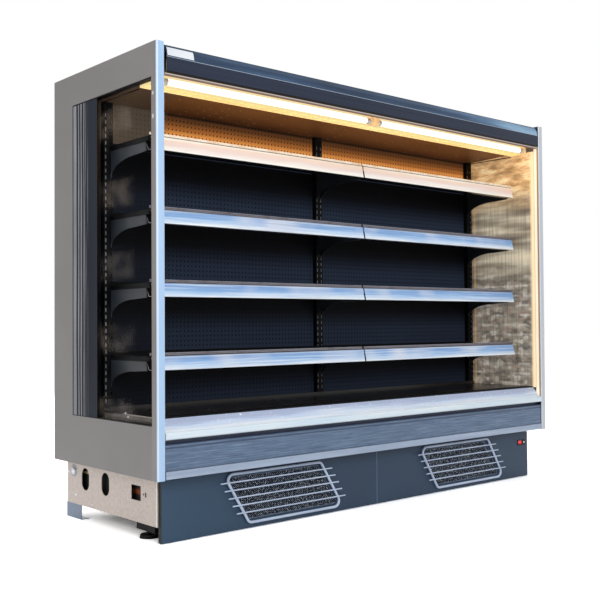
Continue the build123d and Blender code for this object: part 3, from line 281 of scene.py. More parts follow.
def post_metal():
    """Pale blue front face, partly a painted sky reflection; sides painted like the end wall;
    painted lamp glow and painted shade on the inner sides.
    """
    material, tree = start("post_metal")
    x, y, z = axes(tree)
    out = math_node(tree, "ABSOLUTE", x)
    drift = noise(tree, (2, 2, 0.5), 3, 4)

    # The front face: pale blue, partly a painted sky reflection, greyer on the right, with painted
    # highlights along both edges
    front = two_tones(tree, drift, (168, 204, 244), (186, 218, 252))
    front = mix(tree, math_node(tree, "GREATER_THAN", x, 0.0), front, (206, 212, 222))
    edge_highlights = either(
        tree, within(tree, out, 1.2805, 1.2860, 0.001), within(tree, out, 1.2502, 1.2540, 0.001),
    )
    front = mix(tree, edge_highlights, front, (232, 242, 252))

    # The outer side, with the bright ends of two studs
    side = two_tones(tree, drift, (112, 107, 106), (124, 119, 117))
    stud_heights = either(
        tree, within(tree, z, 1.7700, 1.7820, 0.002), within(tree, z, 1.6770, 1.6930, 0.002),
    )
    studs = times(tree, within(tree, y, -0.4120, -0.4040, 0.002), stud_heights)
    side = mix(tree, studs, side, (228, 222, 214))

    # The inner side: painted lamp light from the front edge to the back one, painted shade below
    # the deck and above the lamps
    inner = ramp(
        tree, spread(tree, y, 0, 1, (FRONT, POST_BACK)),
        [(0.0, (150, 150, 158)), (0.12, (226, 206, 182)), (0.24, (120, 88, 64)),
         (0.36, (168, 120, 80)), (0.5, (255, 246, 226)), (0.9, (255, 240, 208)),
         (1.0, (206, 160, 108))],
    )
    inner = mix(tree, spread(tree, z, 1, 0, (0.440, 0.446)), inner, (10, 10, 12))
    inner = mix(tree, spread(tree, z, 0, 1, (1.862, 1.868)), inner, (16, 20, 28))

    inside = math_node(tree, "LESS_THAN", out, 1.2504)
    side = mix(tree, inside, side, inner)
    behind = spread(tree, y, 0, 1, (-0.4285, -0.4270))
    # The inner sides also shine with the painted lamp light as glow
    return coat(
        material, mix(tree, behind, front, side), spread(tree, drift, 0.3, 0.4),
        bump(tree, noise(tree, (6, 6, 0.6), 500, 2), 0.03),
        glow=times(tree, inside, behind, 0.45),
    )


def galvanised():
    """Spangled zinc, with fold lines, small holes painted dark with the shade inside them and a
    painted highlight on the side plates' front edge.
    """
    material, tree = start("galvanised")
    cells = put(tree, "TexVoronoi", [("Vector", place(tree)), ("Scale", 90.0)])
    spangle = put(tree, "SeparateXYZ", [(0, cells.outputs["Color"])]).outputs[0]
    tone = ramp(tree, spangle, [(0.0, (178, 165, 157)), (1.0, (196, 185, 178))])
    tone = mix(tree, spread(tree, noise(tree, EVEN, 4, 3), 0, 0.35), tone, (166, 152, 142))
    x, y, z = axes(tree)
    end = math_node(tree, "GREATER_THAN", math_node(tree, "ABSOLUTE", x), 1.2245)
    folds = either(
        tree, within(tree, y, 0.1970, 0.1995, 0.0006), within(tree, y, -0.0515, -0.0490, 0.0006),
    )
    tone = mix(tree, times(tree, folds, end, 0.5), tone, (140, 132, 128))
    # A narrow slot and a small hole in front of the cable port, painted dark with the shade inside
    # them, and a painted highlight on the front edge
    slot = times(tree, within(tree, y, -0.2500, -0.2390), within(tree, z, 0.1730, 0.1930))
    small = times(tree, within(tree, y, -0.2320, -0.2240), within(tree, z, 0.1790, 0.1870))
    tone = mix(tree, times(tree, either(tree, slot, small), end), tone, (14, 12, 12))
    edge_highlight = times(tree, within(tree, y, -0.3310, -0.3240, 0.002), end)
    return coat(
        material, mix(tree, edge_highlight, tone, (228, 226, 224)), spread(tree, spangle, 0.38, 0.5),
        bump(tree, noise(tree, EVEN, 700, 2), 0.05), metallic=0.2,
    )


def back_sheet():
    """Dark perforated back panels: holes painted dark with shade, painted shade between the
    shelves, and painted lamp light and glow on the band above the top shelf.
    """
    material, tree = start("back_sheet")
    x, _, z = axes(tree)
    holes = dots(tree, x, z, 0.0210, 0.0215, 0.0038)
    drift = noise(tree, (1, 1, 0.6), 2.2, 4)
    left_end = spread(tree, x, 1, 0, (-0.98, -0.90))
    # Between the shelves, painted shade: blue-grey low down and black towards the next shelf,
    # darker lower in the cabinet
    cold = ramp(
        tree, spread(tree, above(tree, z, LOWEST_SHELF, SHELF_PITCH), 0, 1, (0.10, 0.285)),
        [(0.0, (44, 54, 72)), (0.28, (28, 35, 48)), (0.5, (10, 12, 17)), (0.75, (3, 3, 4))],
    )
    cold = mix(tree, spread(tree, drift, 0, 0.3), cold, (14, 15, 19))
    cold = mix(tree, spread(tree, z, 0.4, 0, (0.5, 1.4)), cold, (10, 11, 14))
    cold = mix(tree, times(tree, left_end, 0.75), cold, (12, 13, 15))
    # Above the top shelf, painted lamp light: golden, browner towards the ceiling, with a dark line
    # where it meets the ceiling
    warm = ramp(
        tree, spread(tree, z, 0, 1, (1.656, 1.835)),
        [(0.0, (238, 176, 100)), (0.48, (226, 150, 78)), (0.62, (164, 100, 48)),
         (0.8, (98, 60, 31)), (0.925, (66, 41, 25)), (0.955, (12, 9, 8))],
    )
    warm = mix(tree, spread(tree, noise(tree, EVEN, 6, 4), 0, 0.3), warm, (96, 60, 30))
    warm = mix(tree, left_end, warm, (72, 63, 54))
    lit = within(tree, z, 1.656, 1.90, 0.003)
    # The holes, painted dark with the shade behind them
    depth = times(tree, holes, mix_value(tree, left_end, 0.9, 0.4))
    return coat(
        material, mix(tree, depth, mix(tree, lit, cold, warm), (6, 5, 5)),
        spread(tree, drift, 0.5, 0.6), bump(tree, math_node(tree, "SUBTRACT", 1.0, holes), 0.5),
        glow=spread(tree, lit, 0.3, 0.75), specular=0.06,
    )


def ceiling_sheet():
    """Perforated ceiling, golden-brown with painted lamp light and glow that fade towards the back;
    holes painted dark with shade, a few bright with painted light.
    """
    material, tree = start("ceiling_sheet")
    x, y, _ = axes(tree)
    holes = dots(tree, x, y, 0.0165, 0.0165, 0.0026)
    sparks = dots(tree, x, y, 0.0660, 0.0495, 0.0028)
    drift = noise(tree, (1, 2, 1), 3.0, 5)
    flicker = spread(tree, noise(tree, EVEN, 11, 2), 0, 0.9, (0.45, 0.62))
    # Painted lamp light, fading from the front towards the back
    depth = spread(tree, y, 0, 1, (-0.244, 0.075))
    near = two_tones(tree, drift, (94, 54, 28), (116, 72, 38))
    far = two_tones(tree, drift, (50, 29, 17), (72, 43, 24))
    tone = mix(tree, depth, near, far)
    tone = mix(tree, spread(tree, x, 0.8, 0, (-1.08, -0.98)), tone, (66, 54, 42))
    # Holes painted dark with shade, a few bright with painted light
    tone = mix(tree, times(tree, holes, 0.8), tone, (26, 15, 9))
    tone = mix(tree, times(tree, sparks, flicker), tone, (214, 168, 114))
    return coat(
        material, tone, spread(tree, drift, 0.4, 0.55),
        bump(tree, math_node(tree, "SUBTRACT", 1.0, holes), 0.4),
        glow=spread(tree, depth, 0.55, 0.5), specular=0.25,
    )


def canopy():
    """Dark fascia, a painted highlight on the crease and a painted sky reflection on the leaning
    top band, brighter to the right; painted shade below the lower edge.
    """
    material, tree = start("canopy")
    x, _, z = axes(tree)
    streaks = noise(tree, (0.6, 30, 60), 3, 4)
    lower = two_tones(tree, streaks, (33, 41, 59), (46, 54, 74))
    # The leaning top band: a painted sky reflection, brighter to the right
    along = noise(tree, (1.1, 1, 16), 1.5, 4)
    left_to_right = spread(tree, x, 0, 0.32, (0.1, 1.2))
    upper = ramp(
        tree, math_node(tree, "ADD", times(tree, along, 0.75), left_to_right),
        [(0.25, (36, 50, 72)), (0.45, (58, 82, 112)), (0.62, (92, 126, 160)),
         (0.8, (150, 186, 216))],
    )
    body = mix(tree, spread(tree, z, 0, 1, (1.9235, 1.9245)), lower, upper)
    # A painted highlight along the crease
    body = mix(tree, within(tree, z, 1.9240, 1.9262), body, (170, 182, 198))
    body = mix(tree, within(tree, z, 1.9685, 1.9720), body, (40, 52, 70))
    # Painted shade below the lower edge
    body = mix(tree, spread(tree, z, 1, 0, (1.8685, 1.8700)), body, (10, 9, 11))
    return coat(
        material, body, spread(tree, streaks, 0.26, 0.36), bump(tree, streaks, 0.02), specular=0.2,
    )


def reflector():
    """Lamp reflector drawn almost wholly as glow: a painted highlight on its hem, painted brown
    shade on its front slope, painted lamp light further back.
    """
    material, tree = start("reflector")
    _, y, _ = axes(tree)
    drift = noise(tree, (1, 8, 8), 3, 3)
    back = spread(tree, y, 0, 1, (-0.429, -0.310))
    slope = ramp(
        tree, back,
        [(0.0, (206, 196, 188)), (0.04, (138, 118, 106)), (0.40, (140, 106, 88)),
         (0.58, (170, 128, 102)), (0.70, (226, 184, 148)), (0.84, (250, 226, 176)),
         (1.0, (251, 230, 164))],
    )
    tone = mix(tree, spread(tree, drift, 0, 0.12), slope, (120, 92, 74))
    # Nearly black itself; the painted light and shade shine as glow
    return coat(
        material, mix(tree, 0.96, tone, (4, 4, 4)), spread(tree, drift, 0.4, 0.5),
        glow=spread(tree, back, 0.85, 0.95), glow_tone=tone, specular=0.0,
    )


def brushed_panel():
    """Blue-grey sheet with long brushed streaks, worn patches and two dark lines of painted shade
    under the handrail at its top.
    """
    material, tree = start("brushed_panel")
    long_streaks = noise(tree, (1.3, 20, 55), 4, 6, 0.65)
    fine_streaks = noise(tree, (4, 60, 260), 4, 3, 0.6)
    tone = ramp(
        tree, long_streaks, [(0.3, (50, 70, 96)), (0.5, (78, 100, 128)), (0.7, (116, 136, 162))],
    )
    tone = mix(tree, spread(tree, fine_streaks, 0, 0.5, (0.5, 0.75)), tone, (132, 152, 178))
    _, _, z = axes(tree)
    # Two dark lines of painted shade under the handrail
    top = either(
        tree, within(tree, z, 0.3860, 0.3930, 0.001), within(tree, z, 0.3990, 0.4100, 0.001),
    )
    return coat(
        material, mix(tree, times(tree, top, 0.75), tone, (34, 48, 74)),
        spread(tree, long_streaks, 0.3, 0.45), bump(tree, fine_streaks, 0.12), metallic=0.3,
    )


def strip_plastic(name, pitch, base_height, height, paleness, warm_above, foot_range):
    """Label channel, its tones a painted reflection and shade: dark upper edge, blue middle, white
    lower edge; painted lamp light on the top shelf.

    base_height is the lower edge of the lowest strip, and warm_above the height from which painted
    lamp light warms it. The deck's strip has streaks, pale scratch marks and a warm rim of its own;
    the foot's underside is painted shade.
    """
    material, tree = start(name)
    _, y, z = axes(tree)
    flow = noise(tree, (1.4, 3, 26), 2.1, 4, 0.6)
    up = above(tree, z, base_height, pitch)
    share = math_node(
        tree, "ADD",
        spread(tree, up, 0, 1, (0, height)), spread(tree, flow, -0.16, 0.16, (0.3, 0.7)),
    )
    # Painted reflection: white low down, blue higher up, with bright and dark streaks
    cool = ramp(
        tree, share,
        [(0.0, (242, 249, 255)), (0.18, (210, 230, 252)), (0.36, (176, 208, 246)),
         (0.55, (140, 182, 232)), (0.8, (134, 172, 226)), (1.0, (176, 200, 230))],
    )
    warm = ramp(
        tree, share,
        [(0.0, (255, 252, 246)), (0.25, (246, 240, 238)), (0.5, (240, 220, 214)),
         (0.75, (244, 222, 206)), (1.0, (255, 246, 238))],
    )
    pale = spread(tree, noise(tree, (1.6, 0.1, 2.0), 1.6, 2), paleness, 0.8, (0.5, 0.66))
    tone = mix(tree, pale, cool, (222, 230, 246))
    fine = noise(tree, (1.1, 3, 110), 2.0, 3, 0.6)
    tone = mix(tree, spread(tree, fine, 0, 0.6, (0.54, 0.70)), tone, (240, 249, 255))
    tone = mix(tree, spread(tree, fine, 0.3, 0, (0.30, 0.44)), tone, (96, 118, 160))

    deck = math_node(tree, "LESS_THAN", z, 0.6)
    deck_upper = times(tree, deck, spread(tree, share, 0, 0.85, (0.38, 0.62)))
    tone = mix(tree, deck_upper, tone, (172, 184, 216))
    marks = noise(tree, (26, 1, 55), 2.2, 3, 0.6)
    deck_marks = times(tree, deck, spread(tree, marks, 0, 0.85, (0.63, 0.68)))
    tone = mix(tree, deck_marks, tone, (244, 250, 255))

    # Painted lamp light on the top shelf
    tone = mix(tree, math_node(tree, "GREATER_THAN", z, warm_above), tone, warm)
    # The dark upper edge, painted shade, warm in places on the deck's strip
    warm_rim = times(tree, deck, spread(tree, marks, 0.3, 1, (0.42, 0.52)))
    rim = mix(tree, warm_rim, (58, 56, 68), (226, 198, 168))
    tone = mix(tree, spread(tree, up, 0, 0.8, (height - 0.0035, height - 0.0020)), tone, rim)
    # Painted shade on the underside of the foot
    foot = times(
        tree, math_node(tree, "LESS_THAN", up, 0.003), spread(tree, y, 0, 1, foot_range),
    )
    return coat(
        material, mix(tree, foot, tone, (12, 11, 12)), spread(tree, flow, 0.12, 0.22),
        bump(tree, flow, 0.1, 0.004), specular=0.3,
    )


def riser_face():
    """Low clear riser on the shelf's front edge: painted lamp light on the top shelf, grey-brown
    below it.
    """
    material, tree = start("riser_face")
    _, _, z = axes(tree)
    flow = noise(tree, (9, 1, 30), 2.2, 3)
    grey = ramp(
        tree, spread(tree, above(tree, z, LOWEST_SHELF, SHELF_PITCH), 0, 1, (0.0035, 0.0142)),
        [(0.0, (176, 170, 178)), (0.25, (98, 88, 94)), (0.6, (112, 106, 114)),
         (0.8, (126, 130, 144)), (1.0, (150, 152, 164))],
    )
    grey = mix(tree, spread(tree, flow, 0, 0.6, (0.45, 0.7)), grey, (70, 62, 64))
    # Painted lamp light on the top shelf
    warm = ramp(tree, flow, [(0.3, (240, 206, 168)), (0.6, (255, 244, 226))])
    return coat(
        material, mix(tree, math_node(tree, "GREATER_THAN", z, 1.6), grey, warm),
        spread(tree, flow, 0.2, 0.35), bump(tree, flow, 0.05),
    )


def plinth_shade_paint():
    """Black for the shade inside the plinth, a cream band behind the rear slot and brown behind the
    port.
    """
    material, tree = start("plinth_shade_paint")
    _, y, z = axes(tree)
    drift = noise(tree, EVEN, 30, 3)
    tone = two_tones(tree, drift, (6, 6, 7), (14, 14, 16))
    cream = times(tree, within(tree, y, 0.20, 0.36), within(tree, z, 0.2030, 0.2130, 0.001))
    tone = mix(tree, cream, tone, (214, 190, 150))
    brown = times(tree, within(tree, y, -0.26, -0.10), within(tree, z, 0.1720, 0.1900, 0.006))
    tone = mix(tree, brown, tone, (132, 66, 28))
    return coat(material, tone, spread(tree, drift, 0.5, 0.7), bump(tree, drift, 0.1))


def tub_skin():
    """Pale foam skin, with dark blue painted shade on the front face that shows under the handrail.
    """
    material, tree = start("tub_skin")
    _, y, _ = axes(tree)
    drift = noise(tree, EVEN, 1.6, 4)
    pale = two_tones(tree, drift, (150, 152, 154), (168, 170, 172))
    # Painted shade in the gap under the handrail
    return coat(
        material, mix(tree, spread(tree, y, 1, 0, (-0.396, -0.390)), pale, (18, 34, 64)),
        spread(tree, drift, 0.45, 0.55), bump(tree, noise(tree, EVEN, 600, 2), 0.05),
    )


def kick_metal():
    """Dark blue-grey paint, painted shade on the returned ends, a painted highlight along the seam
    where the two panels meet.
    """
    material, tree = start("kick_paint")
    x, _, _ = axes(tree)
    out = math_node(tree, "ABSOLUTE", x)
    drift = noise(tree, EVEN, 1.2, 4)
    tone = two_tones(tree, drift, (44, 61, 81), (54, 72, 93))
    tone = mix(tree, spread(tree, x, 0.7, 0, (-1.20, -0.30)), tone, (62, 86, 110))
    tone = mix(tree, spread(tree, x, 0, 0.25, (0.60, 1.20)), tone, (60, 74, 96))
    # Painted shade on the returned ends
    tone = mix(tree, spread(tree, out, 0, 1, (1.2188, 1.2196)), tone, (3, 3, 4))
    # A painted highlight along the seam between the panels
    tone = mix(tree, spread(tree, out, 0.8, 0, (0.0018, 0.0030)), tone, (120, 142, 172))
    return coat(
        material, tone, spread(tree, drift, 0.4, 0.5), bump(tree, noise(tree, EVEN, 1500, 2), 0.06),
        specular=0.2,
    )


def bezel_plastic():
    """Black moulding with a small pale pilot lens."""
    material, tree = start("bezel_plastic")
    _, y, _ = axes(tree)
    drift = noise(tree, EVEN, 200, 2)
    black = two_tones(tree, drift, (3, 3, 4), (8, 8, 10))
    lens = math_node(tree, "LESS_THAN", y, PILOT_FACE)
    return coat(
        material, mix(tree, lens, black, (250, 244, 242)), spread(tree, drift, 0.3, 0.45),
        bump(tree, drift, 0.05), glow=times(tree, lens, 0.4), specular=0.15,
    )


def glowing_tube():
    """Frosted tube, a little dimmer towards its caps, with plain metal caps."""
    material, tree = start("glowing_tube")
    x, _, _ = axes(tree)
    along = math_node(tree, "SUBTRACT", math_node(tree, "ABSOLUTE", x), TUBE_MIDDLE)
    from_middle = math_node(tree, "ABSOLUTE", along)
    between_caps = spread(tree, from_middle, 1, 0, (0.560, 0.569))
    frost = noise(tree, EVEN, 300, 2)
    return coat(
        material, two_tones(tree, frost, (226, 222, 214), (240, 238, 232)), 0.35,
        glow=times(tree, between_caps, spread(tree, from_middle, 5.0, 3.2, (0.45, 0.565))),
        glow_tone=(1.0, 0.80, 0.52, 1.0),
    )


def lit_plastic():
    """Pale lamp holders with painted lamp light from the tubes beside them: warm tones and a glow.
    """
    material, tree = start("holder_plastic")
    drift = noise(tree, EVEN, 30, 3)
    # Painted lamp light: warm tones and a glow
    return coat(
        material, two_tones(tree, drift, (236, 196, 140), (250, 216, 164)),
        spread(tree, drift, 0.35, 0.5), bump(tree, drift, 0.1), glow=0.45,
    )


def honeycomb_plastic():
    """Translucent cells with painted lamp light from the side: warm tones and a glow."""
    material, tree = start("honeycomb_plastic")
    x, y, _ = axes(tree)
    cells = dots(tree, x, y, 0.0062, 0.0062, 0.0024)
    tone = two_tones(tree, noise(tree, (0.8, 3, 3), 5, 3), (250, 218, 150), (255, 236, 178))
    tone = mix(tree, times(tree, cells, 0.3), tone, (226, 180, 110))
    # Painted lamp light as a glow
    return coat(material, tone, 0.5, glow=0.6)


def glass():
    """Clear panes: faint painted reflections on the outer ones, the inner right one painted with
    the lit room seen through it and made to glow.
    """
    material, tree = start("glass")
    x, y, z = axes(tree)
    # Faint warm painted reflections of the room, on the outer panes
    soft = noise(tree, (0, 0.9, 0.5), 2.6, 2, 0.4)
    reflection_tint = ramp(tree, soft, [(0.4, (96, 84, 74)), (0.6, (134, 112, 88))])

    # The inner right pane, painted with the room seen through it: blocks and ledges low down, then
    # bands, and warm at the top.
    cells = put(
        tree, "TexVoronoi",
        [("Vector", place(tree, (0, 34, 40))), ("Scale", 1.0), ("Smoothness", 0.6)],
        feature="SMOOTH_F1",
    ).outputs["Color"]
    blocks = ramp(
        tree, put(tree, "SeparateXYZ", [(0, cells)]).outputs[1],
        [(0.2, (62, 56, 51)), (0.4, (110, 102, 92)), (0.6, (156, 146, 132)),
         (0.72, (152, 110, 92)), (0.86, (208, 204, 196))],
    )
    streaks = noise(tree, (0, 4, 16), 1.6, 5, 0.6)
    rows = ramp(
        tree, streaks,
        [(0.34, (82, 75, 68)), (0.48, (120, 112, 100)), (0.58, (146, 138, 124)),
         (0.70, (196, 188, 172))],
    )
    low = mix(tree, times(tree, spread(tree, z, 1, 0, (1.02, 1.30)), 0.38), rows, blocks)
    ledges = within(tree, above(tree, z, 0.0, 0.056), 0.008, 0.020, 0.004)
    broken = spread(tree, noise(tree, (0, 7, 9), 1.6, 3), 0, 0.6, (0.46, 0.60))
    low = mix(tree, times(tree, ledges, broken), low, (200, 196, 188))
    bands = ramp(
        tree, noise(tree, (0, 1.1, 8), 1.6, 2, 0.5),
        [(0.36, (96, 86, 74)), (0.5, (150, 138, 118)), (0.62, (204, 192, 168))],
    )
    room = mix(tree, spread(tree, z, 0, 1, (1.10, 1.24)), low, bands)
    runs = noise(tree, (0, 60, 1.5), 1.6, 2, 0.5)
    room = mix(tree, spread(tree, runs, 0, 0.45, (0.45, 0.7)), room, (70, 64, 58))
    upper = ramp(
        tree, streaks, [(0.36, (150, 112, 72)), (0.5, (204, 164, 112)), (0.64, (246, 216, 168))],
    )
    room = mix(tree, spread(tree, z, 0, 1, (1.50, 1.66)), room, upper)
    # Painted lamp light at the front edge and a golden line at the rear edge
    room = mix(tree, within(tree, y, -0.40, -0.372, 0.010), room, (250, 224, 178))
    rear_edge = times(tree, within(tree, y, 0.026, 0.038, 0.003), spread(tree, rows, 0.3, 0.9))
    room = mix(tree, rear_edge, room, (216, 164, 100))
    room = mix(tree, math_node(tree, "GREATER_THAN", x, 1.2555), room, (30, 31, 34))

    inner_right = within(tree, x, 1.2400, 1.2600)
    outer = math_node(tree, "GREATER_THAN", math_node(tree, "ABSOLUTE", x), 1.2700)
    # Where the outer panes show their painted reflections
    patch = times(
        tree, within(tree, above(tree, z, LOWEST_SHELF, SHELF_PITCH), 0.020, 0.120, 0.016),
        within(tree, y, -0.24, 0.02, 0.03),
    )
    reflection_noise = noise(tree, (0, 7, 8), 1.5, 2, 0.5, (0, 0.3, 0.9))
    reflection_alpha = times(tree, outer, patch, spread(tree, reflection_noise, 0.02, 0.17, (0.40, 0.70)))
    # The inner right pane glows with its painted room
    return coat(
        material, mix(tree, inner_right, reflection_tint, room), spread(tree, soft, 0.03, 0.08),
        glow=times(tree, inner_right, 0.75), alpha=mix_value(tree, inner_right, reflection_alpha, 0.86),
    )


def finned():
    """Bright fin pack: fine vertical lines."""
    material, tree = start("finned")
    x, _, _ = axes(tree)
    wave = math_node(tree, "WRAP", x, 0.0022, -0.0022)
    line = spread(tree, math_node(tree, "ABSOLUTE", wave), 0, 1, (0.0004, 0.0014))
    tone = mix(tree, line, (88, 90, 94), (188, 190, 194))
    tone = mix(tree, spread(tree, noise(tree, EVEN, 9, 3), 0, 0.4), tone, (140, 136, 130))
    return coat(material, tone, 0.4, bump(tree, line, 0.4), metallic=0.6)


def mesh_metal():
    """Expanded metal, dark with painted shade, with painted highlights as uneven bright flecks
    where its strands catch the light, and a faint glow.
    """
    material, tree = start("vent_metal")
    drift = noise(tree, EVEN, 170, 2)
    # Painted shade with painted highlight flecks, and a faint glow
    tone = ramp(
        tree, drift, [(0.44, (46, 54, 70)), (0.56, (132, 142, 160)), (0.66, (232, 240, 250))],
    )
    return coat(
        material, tone, spread(tree, drift, 0.35, 0.45), bump(tree, drift, 0.1), glow=0.12,
        specular=0.1,
    )


def filter_mat():
    """Black filter behind the expanded mesh."""
    material, tree = start("filter_mat")
    drift = noise(tree, EVEN, 60, 4)
    return coat(
        material, ramp(tree, drift, [(0.35, (3, 4, 6)), (0.65, (9, 11, 15))]),
        spread(tree, drift, 0.6, 0.8), bump(tree, drift, 0.4), specular=0.0,
    )


def red_lens():
    """Red rocker, lit a little from inside."""
    material, tree = start("red_lens")
    drift = noise(tree, EVEN, 120, 2)
    return coat(
        material, two_tones(tree, drift, (196, 12, 28), (226, 30, 44)),
        spread(tree, drift, 0.12, 0.22), glow=0.35, glow_tone=(1.0, 0.02, 0.05, 1.0),
    )


label_plastic = strip_plastic(
    "label_plastic", pitch=SHELF_PITCH, base_height=0.685, height=0.058, paleness=0.0,
    warm_above=1.5, foot_range=(-0.2800, -0.2790),
)
deck_label_plastic = strip_plastic(
    "deck_label_plastic", pitch=1.0, base_height=0.45, height=0.060, paleness=0.55,
    warm_above=9.0, foot_range=(-0.4150, -0.4140),  # warm nowhere
)
riser_plastic = riser_face()
plinth_shade_black = plinth_shade_paint()
mat_black = filter_mat()
vent_metal = mesh_metal()

dressing = {
    wall_paint(): ["end_wall_left", "end_wall_right"],
    post_metal(): ["end_posts"],
    trim_metal: ["lower_trim"],
    bumper: ["handrail"],
    kick_metal(): ["kick_panel_left", "kick_panel_right"],
    guard_paint: ["grille_guard_left", "grille_guard_right"],
    skid_paint: ["rear_skids"],
    interior: ["shelf_uprights", "return_grille"],
    bracket_paint: ["shelf_brackets"],
    deck_paint: ["deck_tray_left", "deck_tray_right"],
    tub_skin(): ["insulated_tub"],
    foam_skin: ["back_wall", "roof_panel"],
    black_rubber: [
        "levelling_feet", "evaporator_fan_left", "evaporator_fan_right", "condenser_fan",
    ],
    bezel_plastic(): ["switch_bezel"],
    compressor_paint: ["compressor"],
    box_plastic: ["electrical_box"],
    galvanised(): [
        "base_sides", "base_frame", "condensing_tray", "deck_bearers", "evaporator_fan_plate",
    ],
    back_sheet(): ["back_panels"],
    ceiling_sheet(): ["ceiling_panels"],
    reflector(): ["lamp_reflector"],
    lit_plastic(): ["lamp_holders"],
    canopy(): ["canopy_fascia"],
    brushed_panel(): ["front_panel"],
    deck_label_plastic: ["deck_ticket_strip"],
    glowing_tube(): ["lamp_tube_left", "lamp_tube_right"],
    honeycomb_plastic(): ["air_honeycomb"],
    glass(): ["end_glass"],
    finned(): ["evaporator_coil", "condenser_coil"],
    red_lens(): ["rocker_switch"],
    shelf_paint: [f"shelf_{level}_{side}" for level in (1, 2, 3, 4) for side, _ in SIDES],
    label_plastic: [f"ticket_strip_{level}_{side}" for level in (1, 2, 3, 4) for side, _ in SIDES],
}
for material, names in dressing.items():
    for name in names:
        nodes[name].data.materials.clear()
        nodes[name].data.materials.append(material)


# ------------------------------------------------------------------ mesh helpers

def piece(name, verts, faces, material, slot, body="cabinet"):
    """A new piece that rides on a body and takes the given material; the slot argument is not used.
    """
    mesh = bpy.data.meshes.new(name)
    mesh.from_pydata(verts, [], faces)
    mesh.update()
    obj = bpy.data.objects.new(name, mesh)
    bpy.context.scene.collection.objects.link(obj)
    mesh.materials.append(material)
    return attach(obj, body)


def add_block(verts, faces, corners):
    """Appends a closed block; its eight corners come as three nested pairs, as a box's do."""
    first = len(verts)
    verts.extend(corners)
    for face in (
        (0, 1, 3, 2), (4, 6, 7, 5), (0, 4, 5, 1), (2, 3, 7, 6), (0, 2, 6, 4), (1, 5, 7, 3),
    ):
        faces.append(tuple(first + i for i in face))


def add_box(verts, faces, low, high):
    """Appends a closed box between two opposite corners."""
    add_block(verts, faces, itertools.product(*zip(low, high)))


def side_boxes(name, sign, boxes, *looks):
    """A piece of boxes, each given by two opposite corners as it lies on the right side."""
    verts, faces = [], []
    for (x0, y0, z0), (x1, y1, z1) in boxes:
        x0, x1 = sorted((sign * x0, sign * x1))
        add_box(verts, faces, (x0, y0, z0), (x1, y1, z1))
    piece(name, verts, faces, *looks)


def add_bar(verts, faces, points, half_y, half_z):
    """Appends a thin bar of rectangular section along points in an XZ plane."""
    first = len(verts)
    for x, y, z in points:
        verts.extend([
            (x, y - half_y, z - half_z), (x, y + half_y, z - half_z),
            (x, y + half_y, z + half_z), (x, y - half_y, z + half_z),
        ])
    for step in range(len(points) - 1):
        a = first + 4 * step
        for side in range(4):
            b = (side + 1) % 4
            faces.append((a + side, a + b, a + 4 + b, a + 4 + side))
    last = first + 4 * (len(points) - 1)
    faces.append((first, first + 3, first + 2, first + 1))
    faces.append((last, last + 1, last + 2, last + 3))


def add_head(verts, faces, centre, normal, radius, height, rings=3, sides=14):
    """Appends a low domed screw head, or a flatter one with fewer rings."""
    centre, normal = Vector(centre), Vector(normal)
    across = normal.orthogonal().normalized()
    other = normal.cross(across)
    first = len(verts)
    for ring in range(rings):
        angle = math.pi / 2 * ring / rings
        r, h = radius * math.cos(angle), height * math.sin(angle)
        for step in range(sides):
            turn = 2 * math.pi * step / sides
            outward = across * math.cos(turn) + other * math.sin(turn)
            verts.append(tuple(centre + outward * r + normal * h))
    verts.append(tuple(centre + normal * height))
    for ring in range(rings - 1):
        for step in range(sides):
            a = first + ring * sides + step
            b = first + ring * sides + (step + 1) % sides
            faces.append((a, b, b + sides, a + sides))
    top = first + (rings - 1) * sides
    for step in range(sides):
        faces.append((top + step, top + (step + 1) % sides, first + rings * sides))
    faces.append(tuple(first + step for step in reversed(range(sides))))


# ------------------------------------------------------------------ air openings behind the guards

LEAN = 132 / 214  # shift to the left for each metre up, as the guards lean
VENTS = {"left": -0.5805, "right": 0.6405}  # middle of each opening along x
VENT_MIDDLE = 0.134  # and above the floor
VENT_HALF, VENT_RISE = 0.2585, 0.093  # half its length and half its height
VENT_CORNER = 0.012
MESH_PLANE, MESH_PITCH, MESH_HALF_CELL = -0.3455, 0.0098, 0.0052
MESH_ROWS, MESH_COLUMNS = range(-9, 10), range(-49, 50)
LINING_FRONT, LINING_DEPTH, LINING_THICKNESS = -0.3512, 0.008, 0.0012
FILTER_FACES = (-0.3436, -0.3424)


def leaning(centre, along, up):
    """X and Z of a point that lies along and up from the middle of an opening."""
    return centre + along - LEAN * up, VENT_MIDDLE + up


outline = []  # along and up
for way_x, way_z, begin in ((-1, 1, 90), (-1, -1, 180), (1, -1, 270), (1, 1, 0)):
    for step in range(5):
        angle = math.radians(begin + 90 * step / 4)
        outline.append((
            way_x * (VENT_HALF - VENT_CORNER) + VENT_CORNER * math.cos(angle),
            way_z * (VENT_RISE - VENT_CORNER) + VENT_CORNER * math.sin(angle),
        ))
count = len(outline)
neighbours = [(step, (step + 1) % count) for step in range(count)]

